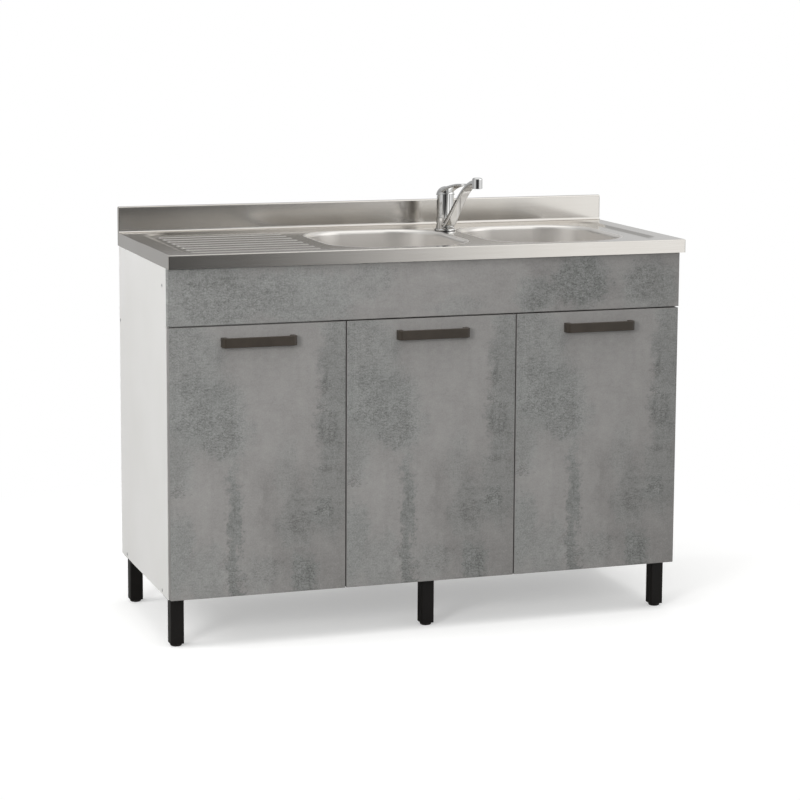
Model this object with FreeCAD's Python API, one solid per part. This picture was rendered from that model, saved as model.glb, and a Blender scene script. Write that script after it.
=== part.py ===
import FreeCAD, Part
import math
import os

# Kitchen sink unit: a free-standing three-door base unit on six square legs, with a
# pressed steel sink top (drainer on the left, two bowls on the right), a raised back
# edge, a single-lever tap, strainer wastes, a twin-bowl bottle trap and concealed hinges.
# Millimetres. X runs to the right, Y to the back, Z up. The origin is on the floor, in
# the middle of the unit's overall length and depth.

V = FreeCAD.Vector
X_AXIS = V(1, 0, 0)
Y_AXIS = V(0, 1, 0)
Z_AXIS = V(0, 0, 1)

# ---------------------------------------------------------------- driving dimensions
# sink top
sink_length = 1200.0
sink_depth = 500.0
worktop_height = 860.0
sheet = 0.8
sheet_clearance = 1.0
skirt_height = 30.0
skirt_return = 30.0
edge_radius = 2.5
splash_height = 60.0
splash_thickness = 12.0
splash_foot_radius = 6.0
splash_top_radius = 4.0
splash_back_drop = 15.0

# pressed well that holds the drainer and the bowls
well_rim_side = 42.0
well_rim_front = 30.0
well_rim_back = 34.0
well_depth = 4.0
well_slope = 16.0
well_corner_radius = 60.0

# drainer ribs
rib_count = 8
rib_width = 14.0
rib_height = 2.0
rib_first_y = 79.0
rib_back_gap = 109.5
rib_left_gap = 68.0
rib_bowl_gap = 36.0

# bowls
bowl_length = 338.0
bowl_front_gap = 60.0
bowl_back_gap = 64.0
bowl_right_gap = 88.0
bowl_divider = 40.0
bowl_depth = 150.0
bowl_corner_radius = 115.0
bowl_neck = 12.0
bowl_bend_radius = 9.0
bowl_draft = 8.0
bowl_floor_radius = 35.0

# carcass
board = 18.0
carcass_end_gap = 12.0
carcass_back_gap = 15.2
fascia_height = 123.0
door_setback = 6.0
door_gap = 3.0
door_back_gap = 0.8
leg_height = 110.0
door_drop = 2.0
partition_bowl_gap = 14.0
front_rail_height = 80.0
front_rail_gap = 26.0
rear_rail_height = 100.0
rear_rail_drop = 120.0
fascia_block_width = 30.0
fascia_block_wall = 2.4
seat_gap = 0.3
board_edge = 0.5
front_edge = 1.0
screw_inset = 55.0
screw_radius = 2.0
screw_head_radius = 4.0
screw_slot = 3.2
screw_length = 50.0
screw_clearance = 0.1

# doors and their hardware
handle_length = 166.0
handle_height = 21.0
handle_reach = 20.0
handle_bar = 6.0
handle_foot = 12.0
handle_corner = 8.0
handle_top_gap = 24.0
handle_edge = 1.2
handle_screw_radius = 2.0
bumper_radius = 4.0
bumper_inset = 30.0
bumper_clearance = 0.1
hinge_edge_gap = 100.0
cup_radius = 17.5
cup_depth = 11.5
cup_edge = 21.5
cup_wall = 1.2
cup_plate_length = 60.0
cup_plate_width = 14.0
arm_width = 12.0
arm_pivot_in = 20.0
arm_pivot_back = 14.0
arm_reach = 62.0
arm_nose = 2.5
arm_plate = 2.5
link_length = 11.0
link_rest_angle = -7.0
link_strap = 2.0
link_half_width = 3.0
link_pin_radius = 1.5
pin_clearance = 0.1

# legs
leg_side = 30.0
leg_wall = 1.5
leg_plate = 44.0
leg_plate_thickness = 2.5
leg_end_inset = 24.0
leg_front_inset = 55.0
leg_back_inset = 45.0
foot_show = 6.0
foot_radius = 12.5
foot_stem_radius = 5.0
foot_stem_length = 30.0
foot_edge = 2.5
leg_plug_height = 22.0
foot_clearance = 0.3

# wastes and trap
waste_flange_radius = 57.0
waste_flange = 2.0
waste_seat_depth = 3.0
waste_cup_radius = 42.0
waste_cup_depth = 45.0
waste_wall = 2.0
pipe_radius = 20.0
pipe_wall = 2.0
gasket = 3.0
collar_height = 8.0
strainer_radius = 38.5
strainer_height = 30.0
strainer_wall = 1.2
strainer_lip = 5.0
strainer_slots = 12
strainer_slot_inner = 13.0
strainer_slot_outer = 31.0
knob_height = 10.0
knob_radius = 7.0
knob_neck_radius = 3.5
collar_notches = 16
tail_length = 20.0
pipe_drop = 10.0
pipe_bend = 30.0
trap_radius = 38.0
trap_neck_radius = 27.0
branch_drop = 28.0
trap_length = 138.0
trap_cup_height = 60.0
trap_cup_edge = 12.5
outlet_drop = 38.0
nut_width = 5.0
nut_height = 14.0

# tap
tap_back_gap = 130.0
tap_base_radius = 25.0
tap_base_height = 4.5
tap_core_radius = 15.2
tap_body_radius = 20.0
tap_rim_height = 81.5
tap_tilt = 12.0
spout_ring_radius = 21.0
spout_ring_top = 30.0
spout_clearance = 0.3
spout_reach = 211.0
nozzle_radius = 11.7
nozzle_top = 139.0
nozzle_bottom = 115.0
nozzle_edge = 4.0
arm_end_gap = 3.0
arm_end_drop = 11.0
aerator_radius = 9.6
lever_lift = 20.0
dome_radius = 18.6
cap_inner_radius = 19.2
cap_outer_radius = 21.6
cartridge_radius = 12.5
cartridge_depth = 24.0
turntable_depth = 7.0
dome_top = 12.0
dome_room_radius = 13.0
dome_hole_radius = 8.5
stem_radius = 3.5
ear_gap = 4.0
ear_thickness = 2.4
aerator_height = 10.0
shank_radius = 16.0
shank_length = 52.0
port_radius = 5.0
port_spacing = 14.0
port_depth = 20.0
plate_thickness = 3.0
plate_length = 42.0
plate_width = 60.0
tap_nut_radius = 24.0
gasket_thickness = 1.0

# the spout's arm, from its root to the nozzle: reach, height, width, thickness, slope
arm_sections = [
    (16.0, 12.0, 30.0, 13.0, 38.0),
    (41.0, 27.0, 28.0, 12.0, 36.0),
    (80.0, 60.0, 24.0, 10.5, 40.0),
    (124.0, 94.5, 22.0, 9.5, 34.0),
    (168.0, 118.5, 21.0, 9.5, 22.0),
    (spout_reach - arm_end_gap, nozzle_top - arm_end_drop, 22.0, 12.0, 6.0),
]
blade_roundness = 3.0
# the lever's blade, from its cap to the tip, in the same terms
lever_sections = [
    (8.0, 93.5, 30.0, 14.0, 22.0),
    (35.0, 101.5, 28.0, 8.5, 16.0),
    (74.0, 110.0, 24.0, 6.0, 11.0),
    (110.0, 115.5, 22.0, 4.5, 7.0),
    (130.0, 117.0, 17.0, 3.2, 5.0),
]

# ---------------------------------------------------------------- places worked out
left_end = -sink_length / 2
right_end = sink_length / 2
handle_ahead = handle_reach - door_setback
sink_front = (handle_ahead - sink_depth) / 2
sink_back = sink_front + sink_depth
splash_front = sink_back - splash_thickness
skirt_bottom = worktop_height - skirt_height
well_floor = worktop_height - well_depth
splash_top = worktop_height + splash_height

carcass_length = sink_length - carcass_end_gap
carcass_left = left_end
carcass_right = left_end + carcass_length
door_front = sink_front + door_setback
door_back = door_front + board
carcass_front = door_back + door_back_gap
carcass_back = sink_back - carcass_back_gap
panel_bottom = leg_height
panel_top = skirt_bottom
floor_panel_top = panel_bottom + board
inner_left = carcass_left + board
inner_right = carcass_right - board

fascia_bottom = panel_top - fascia_height
door_bottom = panel_bottom + door_drop
door_top = fascia_bottom - door_gap
door_width = carcass_length / 3 - door_gap
door_lefts = [carcass_left + door_gap / 2 + i * (door_width + door_gap) for i in range(3)]
partition_centre = door_lefts[1] - door_gap / 2
front_rail_front = door_back + front_rail_gap
front_rail_bottom = panel_top - front_rail_height
rear_rail_front = carcass_back - board
rear_rail_top = panel_top - rear_rail_drop
rear_rail_base = rear_rail_top - rear_rail_height

bowl_width = sink_depth - bowl_front_gap - bowl_back_gap
bowl_centre_y = sink_front + bowl_front_gap + bowl_width / 2
right_bowl_x = right_end - bowl_right_gap - bowl_length / 2
left_bowl_x = right_bowl_x - bowl_length - bowl_divider
bowl_floor = well_floor - bowl_depth
waste_seat = bowl_floor - waste_seat_depth
partition_top = bowl_floor - partition_bowl_gap
rib_pitch = (sink_depth - rib_first_y - rib_back_gap) / (rib_count - 1)

tail_end = waste_seat - waste_cup_depth - tail_length
branch_height = tail_end - pipe_drop - pipe_bend
trap_x = (left_bowl_x + right_bowl_x) / 2
trap_top = branch_height - branch_drop
trap_bottom = trap_top - trap_length
outlet_height = trap_top - outlet_drop

tap_x = trap_x
tap_y = sink_back - tap_back_gap
tap_seat = well_floor + gasket_thickness
tap_pivot = V(tap_x, tap_y, tap_seat + tap_rim_height)

leg_xs = [carcass_left + leg_end_inset, 0.0, carcass_right - leg_end_inset]
leg_ys = [sink_front + leg_front_inset, sink_back - leg_back_inset]
leg_names = ["left", "middle", "right"]


# ---------------------------------------------------------------- small helpers
def box(x0, x1, y0, y1, z0, z1):
    return Part.makeBox(x1 - x0, y1 - y0, z1 - z0, V(x0, y0, z0))


def rod(radius, start, end):
    axis = end - start
    return Part.makeCylinder(radius, axis.Length, start, axis)


def post(x, y, radius, z0, z1):
    return Part.makeCylinder(radius, z1 - z0, V(x, y, z0), Z_AXIS)


def ring(x, y, outer, inner, z0, z1):
    return post(x, y, outer, z0, z1).cut(post(x, y, inner, z0 - sheet, z1 + sheet))


def union(shapes):
    whole = shapes[0]
    for shape in shapes[1:]:
        whole = whole.fuse(shape)
    return whole.removeSplitter()


def cut_all(shape, tools):
    for tool in tools:
        shape = shape.cut(tool)
    return shape


def moved(shape, step):
    copy = shape.copy()
    copy.translate(step)
    return copy


def softened(shape, radius):
    return shape.makeFillet(radius, shape.Edges)


def rounded_rectangle(x, y, half_x, half_y, radius, z):
    """A level rectangle with round corners, as one closed wire."""
    centres = []
    for side_x, side_y in ((1, 1), (-1, 1), (-1, -1), (1, -1)):
        centres.append(V(x + side_x * (half_x - radius), y + side_y * (half_y - radius), z))
    edges = []
    for i, centre in enumerate(centres):
        turn = math.radians(90 * (i + 1))
        away = V(math.cos(turn), math.sin(turn), 0) * radius
        circle = Part.Circle(centre, Z_AXIS, radius)
        edges.append(Part.Arc(circle, turn - math.pi / 2, turn).toShape())
        edges.append(Part.LineSegment(centre + away, centres[(i + 1) % 4] + away).toShape())
    return Part.Wire(edges)


def rounded_polygon(corners, place):
    """A closed outline through corners (a, b, radius), placed in space by place(a, b)."""
    starts = []
    middles = []
    ends = []
    for i, (a, b, radius) in enumerate(corners):
        corner = V(a, b, 0)
        back = (V(corners[i - 1][0], corners[i - 1][1], 0) - corner).normalize()
        following = corners[(i + 1) % len(corners)]
        ahead = (V(following[0], following[1], 0) - corner).normalize()
        half_angle = back.getAngle(ahead) / 2
        trim = radius / math.tan(half_angle)
        bisector = (back + ahead).normalize()
        starts.append(corner + back * trim)
        middles.append(corner + bisector * (radius / math.sin(half_angle) - radius))
        ends.append(corner + ahead * trim)
    edges = []
    for i, (a, b, radius) in enumerate(corners):
        start = place(starts[i].x, starts[i].y)
        end = place(ends[i].x, ends[i].y)
        if radius > 0:
            middle = place(middles[i].x, middles[i].y)
            edges.append(Part.Arc(start, middle, end).toShape())
        following = starts[(i + 1) % len(corners)]
        edges.append(Part.LineSegment(end, place(following.x, following.y)).toShape())
    return Part.Wire(edges)


def extruded(wire, step):
    return Part.Face(wire).extrude(step)


# ---------------------------------------------------------------- pressed sink top
def level_edges(shape, z, x, y, half_x, half_y):
    """The edges at height z that lie within a rectangle about x, y."""
    found = []
    slack = 0.05
    for edge in shape.Edges:
        bounds = edge.BoundBox
        level = abs(bounds.ZMin - z) < slack and abs(bounds.ZMax - z) < slack
        near_x = bounds.XMin > x - half_x - slack and bounds.XMax < x + half_x + slack
        near_y = bounds.YMin > y - half_y - slack and bounds.YMax < y + half_y + slack
        if level and near_x and near_y:
            found.append(edge)
    return found


def pressed_space(x, y, half_x, half_y, corner, top, low, draft, bend, low_bend, margin, lift):
    """What a die presses into a sheet: a drafted pocket with round edges and a slab over it."""
    mouth = rounded_rectangle(x, y, half_x, half_y, corner, top)
    base = rounded_rectangle(x, y, half_x - draft, half_y - draft, corner - draft, low)
    pocket = Part.makeLoft([base, mouth], True, True)
    rim = rounded_rectangle(x, y, half_x + margin, half_y + margin, corner + margin, top)
    space = pocket.fuse(extruded(rim, V(0, 0, lift)))
    space = space.makeFillet(low_bend, level_edges(space, low, x, y, half_x, half_y))
    return space.makeFillet(bend, level_edges(space, top, x, y, half_x, half_y))


def deck_block(inset):
    """The sink top as a solid block: the outside, or with an inset the space under the sheet."""
    corners = [
        (sink_front + inset, skirt_bottom, 0),
        (sink_front + inset, worktop_height - inset, edge_radius - inset),
        (splash_front + inset, worktop_height - inset, splash_foot_radius + inset),
        (splash_front + inset, splash_top - inset, splash_top_radius - inset),
        (sink_back - inset, splash_top - inset, splash_top_radius - inset),
        (sink_back - inset, skirt_bottom, 0),
    ]
    start = left_end + inset
    outline = rounded_polygon(corners, lambda a, b: V(start, a, b))
    block = extruded(outline, V(sink_length - 2 * inset, 0, 0))
    ends = []
    for edge in block.Edges:
        bounds = edge.BoundBox
        at_end = bounds.XLength < sheet / 2
        at_foot = bounds.ZLength < sheet / 2 and abs(bounds.ZMin - skirt_bottom) < sheet / 2
        if at_end and not at_foot:
            ends.append(edge)
    return block.makeFillet(edge_radius - inset, ends)


def well_space():
    half_x = sink_length / 2 - well_rim_side
    front = sink_front + well_rim_front
    back = sink_back - well_rim_back
    middle = (front + back) / 2
    half_y = (back - front) / 2
    bend = well_slope
    margin = (well_rim_back - splash_thickness - splash_foot_radius) / 2
    return pressed_space(0, middle, half_x, half_y, well_corner_radius, worktop_height, well_floor,
                         well_slope, bend, bend, margin, well_depth)


def drainer_rib(y):
    """A raised rib: part of a lying cylinder with a ball of the same radius at each end."""
    radius = (rib_width * rib_width / 4 + rib_height * rib_height) / (2 * rib_height)
    centre_z = well_floor + rib_height - radius
    half = rib_width / 2
    start = V(left_end + rib_left_gap + half, y, centre_z)
    end = V(left_bowl_x - bowl_length / 2 - rib_bowl_gap - half, y, centre_z)
    balls = [Part.makeSphere(radius, start), Part.makeSphere(radius, end)]
    whole = rod(radius, start, end).fuse(balls)
    keep = box(start.x - rib_width, end.x + rib_width, y - rib_width, y + rib_width,
               well_floor - sheet, well_floor + 2 * rib_height)
    return whole.common(keep).removeSplitter()


def bowl_outline(x, z):
    return rounded_rectangle(x, bowl_centre_y, bowl_length / 2, bowl_width / 2, bowl_corner_radius, z)


def sink_deck():
    down = V(0, 0, -sheet)
    well = well_space()
    ribs = [drainer_rib(sink_front + rib_first_y + i * rib_pitch) for i in range(rib_count)]
    block = deck_block(0)
    top = block.cut(well).fuse(ribs)
    under = deck_block(sheet).cut(moved(well, down)).fuse([moved(rib, down) for rib in ribs])
    shell = top.cut(under)
    rim = box(left_end, right_end, sink_front, splash_front, skirt_bottom, skirt_bottom + sheet)
    opening = box(left_end + skirt_return, right_end - skirt_return, sink_front + skirt_return,
                  sink_back, skirt_bottom - sheet, skirt_bottom + 2 * sheet)
    returns = block.common(rim.cut(opening))
    behind = box(left_end + 2 * edge_radius, right_end - 2 * edge_radius, splash_front + 2 * sheet,
                 sink_back + sheet, skirt_bottom - sheet, splash_top - splash_back_drop)
    holes = [post(tap_x, tap_y, shank_radius + sheet_clearance, skirt_bottom, worktop_height)]
    for x in (left_bowl_x, right_bowl_x):
        holes.append(extruded(bowl_outline(x, skirt_bottom + 2 * sheet), V(0, 0, skirt_height)))
    return cut_all(shell, [behind] + holes).fuse(returns).removeSplitter()


def bowl_space(x, grow):
    """The room in a bowl, or with grow the same room together with its sheet."""
    lift = grow if grow else bowl_neck
    space = pressed_space(x, bowl_centre_y, bowl_length / 2 - bowl_neck + grow,
                          bowl_width / 2 - bowl_neck + grow, bowl_corner_radius - bowl_neck + grow,
                          well_floor - grow, bowl_floor - grow, bowl_draft, bowl_bend_radius - grow,
                          bowl_floor_radius + grow, bowl_neck - grow, lift)
    seat_radius = waste_flange_radius + sheet_clearance + grow
    seat = post(x, bowl_centre_y, seat_radius, waste_seat - grow, bowl_floor + grow)
    return space.fuse(seat)


def bowl(x):
    shell = bowl_space(x, sheet).cut(bowl_space(x, 0))
    hole = post(x, bowl_centre_y, waste_cup_radius + seat_gap, waste_seat - 2 * sheet, bowl_floor)
    return shell.cut(hole)


# ---------------------------------------------------------------- carcass
def screw_places():
    """Where the chipboard screws go in: (x of the panel face, inward sign, y, z)."""
    front_z = front_rail_bottom + front_rail_height / 2
    rear_z = rear_rail_base + rear_rail_height / 2
    floor_z = panel_bottom + board / 2
    front_y = front_rail_front + board / 2
    rear_y = rear_rail_front + board / 2
    spots = [(front_y, front_z), (rear_y, rear_z)]
    spots += [(carcass_front + screw_inset, floor_z), (carcass_back - screw_inset, floor_z)]
    places = []
    for face, inward in ((carcass_left, 1), (carcass_right, -1)):
        for y, z in spots:
            places.append((face, inward, y, z))
    return places


def chipboard_screws(clearance):
    screws = []
    for face, inward, y, z in screw_places():
        start = V(face, y, z)
        axis = V(inward, 0, 0)
        head = Part.makeCone(screw_head_radius + clearance, screw_radius + clearance, screw_head_radius,
                             start, axis)
        shank = Part.makeCylinder(screw_radius + clearance, screw_length + clearance, start, axis)
        screws.append(head.fuse(shank))
    return screws


def carcass_screws():
    slots = []
    for face, inward, y, z in screw_places():
        half = screw_slot / 2
        slot = box(-screw_radius, screw_radius, -half, half, -half, half)
        slots.append(moved(slot, V(face, y, z)))
    return Part.Compound([screw.cut(slot) for screw, slot in zip(chipboard_screws(0), slots)])


def drilled(panel):
    return cut_all(panel, chipboard_screws(screw_clearance))


def side_panel(face, inward):
    x0, x1 = sorted((face, face + inward * board))
    panel = box(x0, x1, carcass_front, carcass_back, panel_bottom, panel_top)
    return drilled(softened(panel, board_edge))


def bottom_panel():
    return drilled(box(inner_left, inner_right, carcass_front, carcass_back, panel_bottom, floor_panel_top))


def front_rail():
    return drilled(box(inner_left, inner_right, front_rail_front, front_rail_front + board,
                       front_rail_bottom, panel_top))


def rear_rail():
    return drilled(box(inner_left, inner_right, rear_rail_front, carcass_back,
                       rear_rail_base, rear_rail_top))


def partition_panel():
    """The upright between the compartments: low under the bowl, with a horn up to the front rail."""
    horn_back = front_rail_front + board
    corners = [
        (carcass_front, floor_panel_top, 0),
        (rear_rail_front, floor_panel_top, 0),
        (rear_rail_front, partition_top, 0),
        (horn_back, partition_top, 0),
        (horn_back, front_rail_bottom, 0),
        (carcass_front, front_rail_bottom, 0),
    ]
    start = partition_centre - board / 2
    outline = rounded_polygon(corners, lambda a, b: V(start, a, b))
    return extruded(outline, V(board, 0, 0))


def fascia_board():
    panel = box(carcass_left, carcass_right, door_front, door_back, fascia_bottom, panel_top)
    return softened(panel, front_edge)


def fascia_blocks():
    """Moulded blocks that hold the fascia off the front rail."""
    half = fascia_block_width / 2
    centres = [inner_left + half, partition_centre, door_lefts[2] - door_gap / 2, inner_right - half]
    blocks = []
    middle_z = front_rail_bottom + front_rail_height / 2
    for x in centres:
        block = box(x - half, x + half, door_back, front_rail_front, middle_z - half, middle_z + half)
        room = half - fascia_block_wall
        inside = box(x - room, x + room, door_back + fascia_block_wall,
                     front_rail_front - fascia_block_wall, middle_z - 2 * half, middle_z + room)
        blocks.append(block.cut(inside))
    return Part.Compound(blocks)


# ---------------------------------------------------------------- doors and hardware
hinge_heights = [door_bottom + hinge_edge_gap, door_top - hinge_edge_gap]


def door_edge(index):
    """The hinged edge of a door and the sign that points from it into the door."""
    if index == 2:
        return door_lefts[index] + door_width, -1
    return door_lefts[index], 1


def hinge_point(index, inward, back, z):
    edge, sign = door_edge(index)
    return V(edge + sign * inward, door_front + back, z)


def hinge_box(index, in0, in1, back0, back1, z0, z1):
    a = hinge_point(index, in0, back0, z0)
    b = hinge_point(index, in1, back1, z1)
    return box(min(a.x, b.x), max(a.x, b.x), a.y, b.y, z0, z1)


def handle_centre(index):
    return door_lefts[index] + door_width / 2, door_top - handle_top_gap - handle_height / 2


def handle_screw_xs(index):
    centre = handle_centre(index)[0]
    reach = handle_length / 2 - handle_foot / 2
    return [centre - reach, centre + reach]


def handle_screw_group(index, clearance):
    z = handle_centre(index)[1]
    screws = []
    for x in handle_screw_xs(index):
        tip = V(x, door_front - handle_reach + handle_bar - clearance, z)
        shank = rod(handle_screw_radius + clearance, tip, V(x, door_back + handle_screw_radius, z))
        head = rod(2 * handle_screw_radius, V(x, door_back, z), V(x, door_back + handle_screw_radius, z))
        screws.append(shank.fuse(head).removeSplitter())
    return screws


def door(index):
    x0 = door_lefts[index]
    panel = box(x0, x0 + door_width, door_front, door_back, door_bottom, door_top)
    panel = softened(panel, front_edge)
    cups = []
    for z in hinge_heights:
        start = hinge_point(index, cup_edge, board - cup_depth, z)
        cups.append(Part.makeCylinder(cup_radius, board, start, Y_AXIS))
    return cut_all(panel, cups + handle_screw_group(index, screw_clearance))


def handle(index):
    """A bar handle: a flat front bar whose ends turn back to the door in round corners."""
    x, z = handle_centre(index)
    half = handle_length / 2
    front = door_front - handle_reach
    low = z - handle_height / 2
    outside = [
        (x - half, door_front, 0),
        (x - half, front, handle_corner),
        (x + half, front, handle_corner),
        (x + half, door_front, 0),
    ]
    inner_half = half - handle_foot
    inside = [
        (x - inner_half, door_front + sheet, 0),
        (x - inner_half, front + handle_bar, handle_corner / 2),
        (x + inner_half, front + handle_bar, handle_corner / 2),
        (x + inner_half, door_front + sheet, 0),
    ]
    body = extruded(rounded_polygon(outside, lambda a, b: V(a, b, low)), V(0, 0, handle_height))
    soft = []
    for edge in body.Edges:
        bounds = edge.BoundBox
        if bounds.ZLength < sheet and bounds.YMin < door_front - sheet:
            soft.append(edge)
    body = body.makeFillet(handle_edge, soft)
    gap = extruded(rounded_polygon(inside, lambda a, b: V(a, b, low - sheet)),
                   V(0, 0, handle_height + 2 * sheet))
    return cut_all(body, [gap] + handle_screw_group(index, screw_clearance))


def handle_screws(index):
    return Part.Compound(handle_screw_group(index, 0))


def hinge_cups(index):
    """The two cups let into the back of a door, each with its screw plate."""
    cups = []
    for z in hinge_heights:
        bottom = hinge_point(index, cup_edge, board - cup_depth, z)
        floor = hinge_point(index, cup_edge, board - cup_depth + cup_wall, z)
        half = cup_plate_length / 2
        plate = hinge_box(index, cup_edge, cup_edge + cup_plate_width, board, board + cup_wall,
                          z - half, z + half)
        cup = Part.makeCylinder(cup_radius, cup_depth, bottom, Y_AXIS).fuse(plate)
        room = Part.makeCylinder(cup_radius - cup_wall, 2 * cup_depth, floor, Y_AXIS)
        heads = []
        for step in (-1, 1):
            spot = hinge_point(index, cup_edge + cup_plate_width / 2, board + cup_wall,
                               z + step * (half - cup_plate_width / 2))
            heads.append(Part.makeSphere(handle_screw_radius, spot).common(
                hinge_box(index, 0, 2 * cup_edge, board, board + cup_depth, z - 2 * half, z + 2 * half)))
        cups.append(cup.cut(room).fuse(heads).removeSplitter())
    return Part.Compound(cups)


def hinge_arms(index):
    """The arms on the carcass: a plate on the panel and a cranked arm that reaches into the cup."""
    panel_face = board - door_gap / 2
    if index == 1:
        panel_face = (board - door_gap) / 2
    plate_face = panel_face + arm_plate
    nose = arm_nose
    arms = []
    for z in hinge_heights:
        corners = [
            (arm_pivot_in - nose, arm_pivot_back - nose, nose / 2),
            (arm_pivot_in + nose, arm_pivot_back - nose, nose / 2),
            (arm_pivot_in + 2 * nose, arm_pivot_back + 2 * nose, nose / 2),
            (arm_pivot_in + 2 * nose, arm_pivot_back + arm_reach, nose),
            (plate_face, arm_pivot_back + arm_reach, 0),
            (plate_face, board + 4 * nose, 0),
            (arm_pivot_in - nose, board + 2 * nose, nose / 2),
        ]
        low = z - arm_width / 2
        outline = rounded_polygon(corners, lambda a, b: hinge_point(index, a, b, low))
        arm = extruded(outline, V(0, 0, arm_width))
        plate = hinge_box(index, panel_face, plate_face, board + 5 * nose, arm_pivot_back + arm_reach,
                          z - 2 * arm_width, z + 2 * arm_width)
        pin = rod(link_pin_radius + pin_clearance, hinge_point(index, arm_pivot_in, arm_pivot_back, low - sheet),
                  hinge_point(index, arm_pivot_in, arm_pivot_back, low + arm_width + sheet))
        arms.append(arm.fuse(plate).cut(pin).removeSplitter())
    return Part.Compound(arms)


def hinge_links(index):
    """The straps that swing on the arm's pin, one pair at each hinge."""
    links = []
    sway = math.radians(link_rest_angle)
    for z in hinge_heights:
        pieces = []
        start_in = arm_pivot_in
        end_in = arm_pivot_in + link_length * math.cos(sway)
        end_back = arm_pivot_back + link_length * math.sin(sway)
        half = arm_width / 2 + seat_gap
        for low in (z - half - link_strap, z + half):
            heel = hinge_point(index, start_in, arm_pivot_back, low)
            toe = hinge_point(index, end_in, end_back, low)
            along = toe - heel
            across = V(-along.y, along.x, 0).normalize() * link_half_width
            strap = Part.makePolygon([heel + across, toe + across, toe - across, heel - across, heel + across])
            pieces.append(extruded(strap, V(0, 0, link_strap)))
            pieces.append(Part.makeCylinder(link_half_width, link_strap, heel, Z_AXIS))
            pieces.append(Part.makeCylinder(link_half_width, link_strap, toe, Z_AXIS))
        for inward, back in ((start_in, arm_pivot_back), (end_in, end_back)):
            low = hinge_point(index, inward, back, z - half - link_strap / 2)
            pieces.append(rod(link_pin_radius, low, low + V(0, 0, 2 * half + link_strap)))
        links.append(union(pieces))
    return Part.Compound(links)


def door_bumpers():
    """Soft dots on the front edge of the bottom panel that the doors close against."""
    dots = []
    z = (door_bottom + floor_panel_top) / 2
    for x0 in door_lefts:
        for x in (x0 + bumper_inset, x0 + door_width - bumper_inset):
            front = door_back + bumper_clearance
            dots.append(rod(bumper_radius, V(x, front, z), V(x, carcass_front, z)))
    return Part.Compound(dots)


# ---------------------------------------------------------------- legs
def leg_places():
    return [(x, y) for y in leg_ys for x in leg_xs]


def leg_tubes():
    legs = []
    half = leg_side / 2
    room = half - leg_wall
    plate_half = leg_plate / 2
    plate_low = leg_height - leg_plate_thickness
    for x, y in leg_places():
        tube = box(x - half, x + half, y - half, y + half, foot_show + foot_clearance, plate_low)
        corners = [edge for edge in tube.Edges if edge.BoundBox.ZLength > leg_side]
        tube = tube.makeFillet(2 * leg_wall, corners)
        inside = box(x - room, x + room, y - room, y + room, 0, plate_low)
        plate = box(x - plate_half, x + plate_half, y - plate_half, y + plate_half, plate_low, leg_height)
        legs.append(tube.cut(inside).fuse(plate).removeSplitter())
    return Part.Compound(legs)


def leg_plugs():
    """Moulded plugs pressed into the tubes, with the thread for the foot."""
    plugs = []
    room = leg_side / 2 - leg_wall
    low = foot_show + foot_clearance
    for x, y in leg_places():
        plug = box(x - room, x + room, y - room, y + room, low, low + leg_plug_height)
        bore = post(x, y, foot_stem_radius + pin_clearance, 0, leg_height)
        plugs.append(plug.cut(bore))
    return Part.Compound(plugs)


def leg_foot(x, y):
    """A levelling foot: a round pad with a soft edge on a threaded stem."""
    profile = [
        (0, 0, 0),
        (foot_radius, 0, foot_edge),
        (foot_radius, foot_show, foot_edge / 2),
        (foot_stem_radius, foot_show, 0),
        (foot_stem_radius, foot_show + foot_stem_length, foot_edge / 2),
        (0, foot_show + foot_stem_length, 0),
    ]
    outline = rounded_polygon(profile, lambda a, b: V(x + a, y, b))
    return Part.Face(outline).revolve(V(x, y, 0), Z_AXIS, 360)


# ---------------------------------------------------------------- wastes and trap
def waste(x):
    """A strainer waste: a flange in the bowl's seat, a cup and a threaded tail."""
    y = bowl_centre_y
    top = waste_seat + waste_flange
    cup_low = waste_seat - waste_cup_depth
    outside = [post(x, y, waste_flange_radius, waste_seat, top)]
    outside.append(post(x, y, waste_cup_radius, cup_low, waste_seat))
    outside.append(post(x, y, pipe_radius, tail_end, cup_low))
    inside = [post(x, y, waste_cup_radius - waste_wall, cup_low + waste_wall, top + waste_wall)]
    inside.append(post(x, y, pipe_radius - pipe_wall, tail_end - pipe_wall, cup_low + waste_cup_depth / 2))
    return cut_all(union(outside), inside)


def under_bowl_rings(outer, low, high):
    rings = []
    for x in (left_bowl_x, right_bowl_x):
        rings.append(ring(x, bowl_centre_y, outer, waste_cup_radius + seat_gap, low, high))
    return Part.Compound(rings)


def seals():
    """The rubber rings: one under each bowl and one under the tap's base."""
    high = waste_seat - sheet
    under_bowls = under_bowl_rings(waste_flange_radius - gasket, high - gasket, high)
    under_tap = ring(tap_x, tap_y, tap_base_radius - sheet, shank_radius + seat_gap, well_floor, tap_seat)
    return Part.Compound(under_bowls.Solids + [under_tap])


def waste_collars():
    """The ribbed nuts that pull each waste down onto its gasket."""
    high = waste_seat - sheet - gasket
    low = high - collar_height
    collars = []
    for x in (left_bowl_x, right_bowl_x):
        collar = ring(x, bowl_centre_y, waste_flange_radius - gasket, waste_cup_radius + seat_gap, low, high)
        notches = []
        for i in range(collar_notches):
            turn = 2 * math.pi * i / collar_notches
            reach = waste_flange_radius - gasket
            notches.append(post(x + reach * math.cos(turn), bowl_centre_y + reach * math.sin(turn),
                                gasket, low - sheet, high + sheet))
        collars.append(cut_all(collar, notches))
    return Part.Compound(collars)


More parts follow.
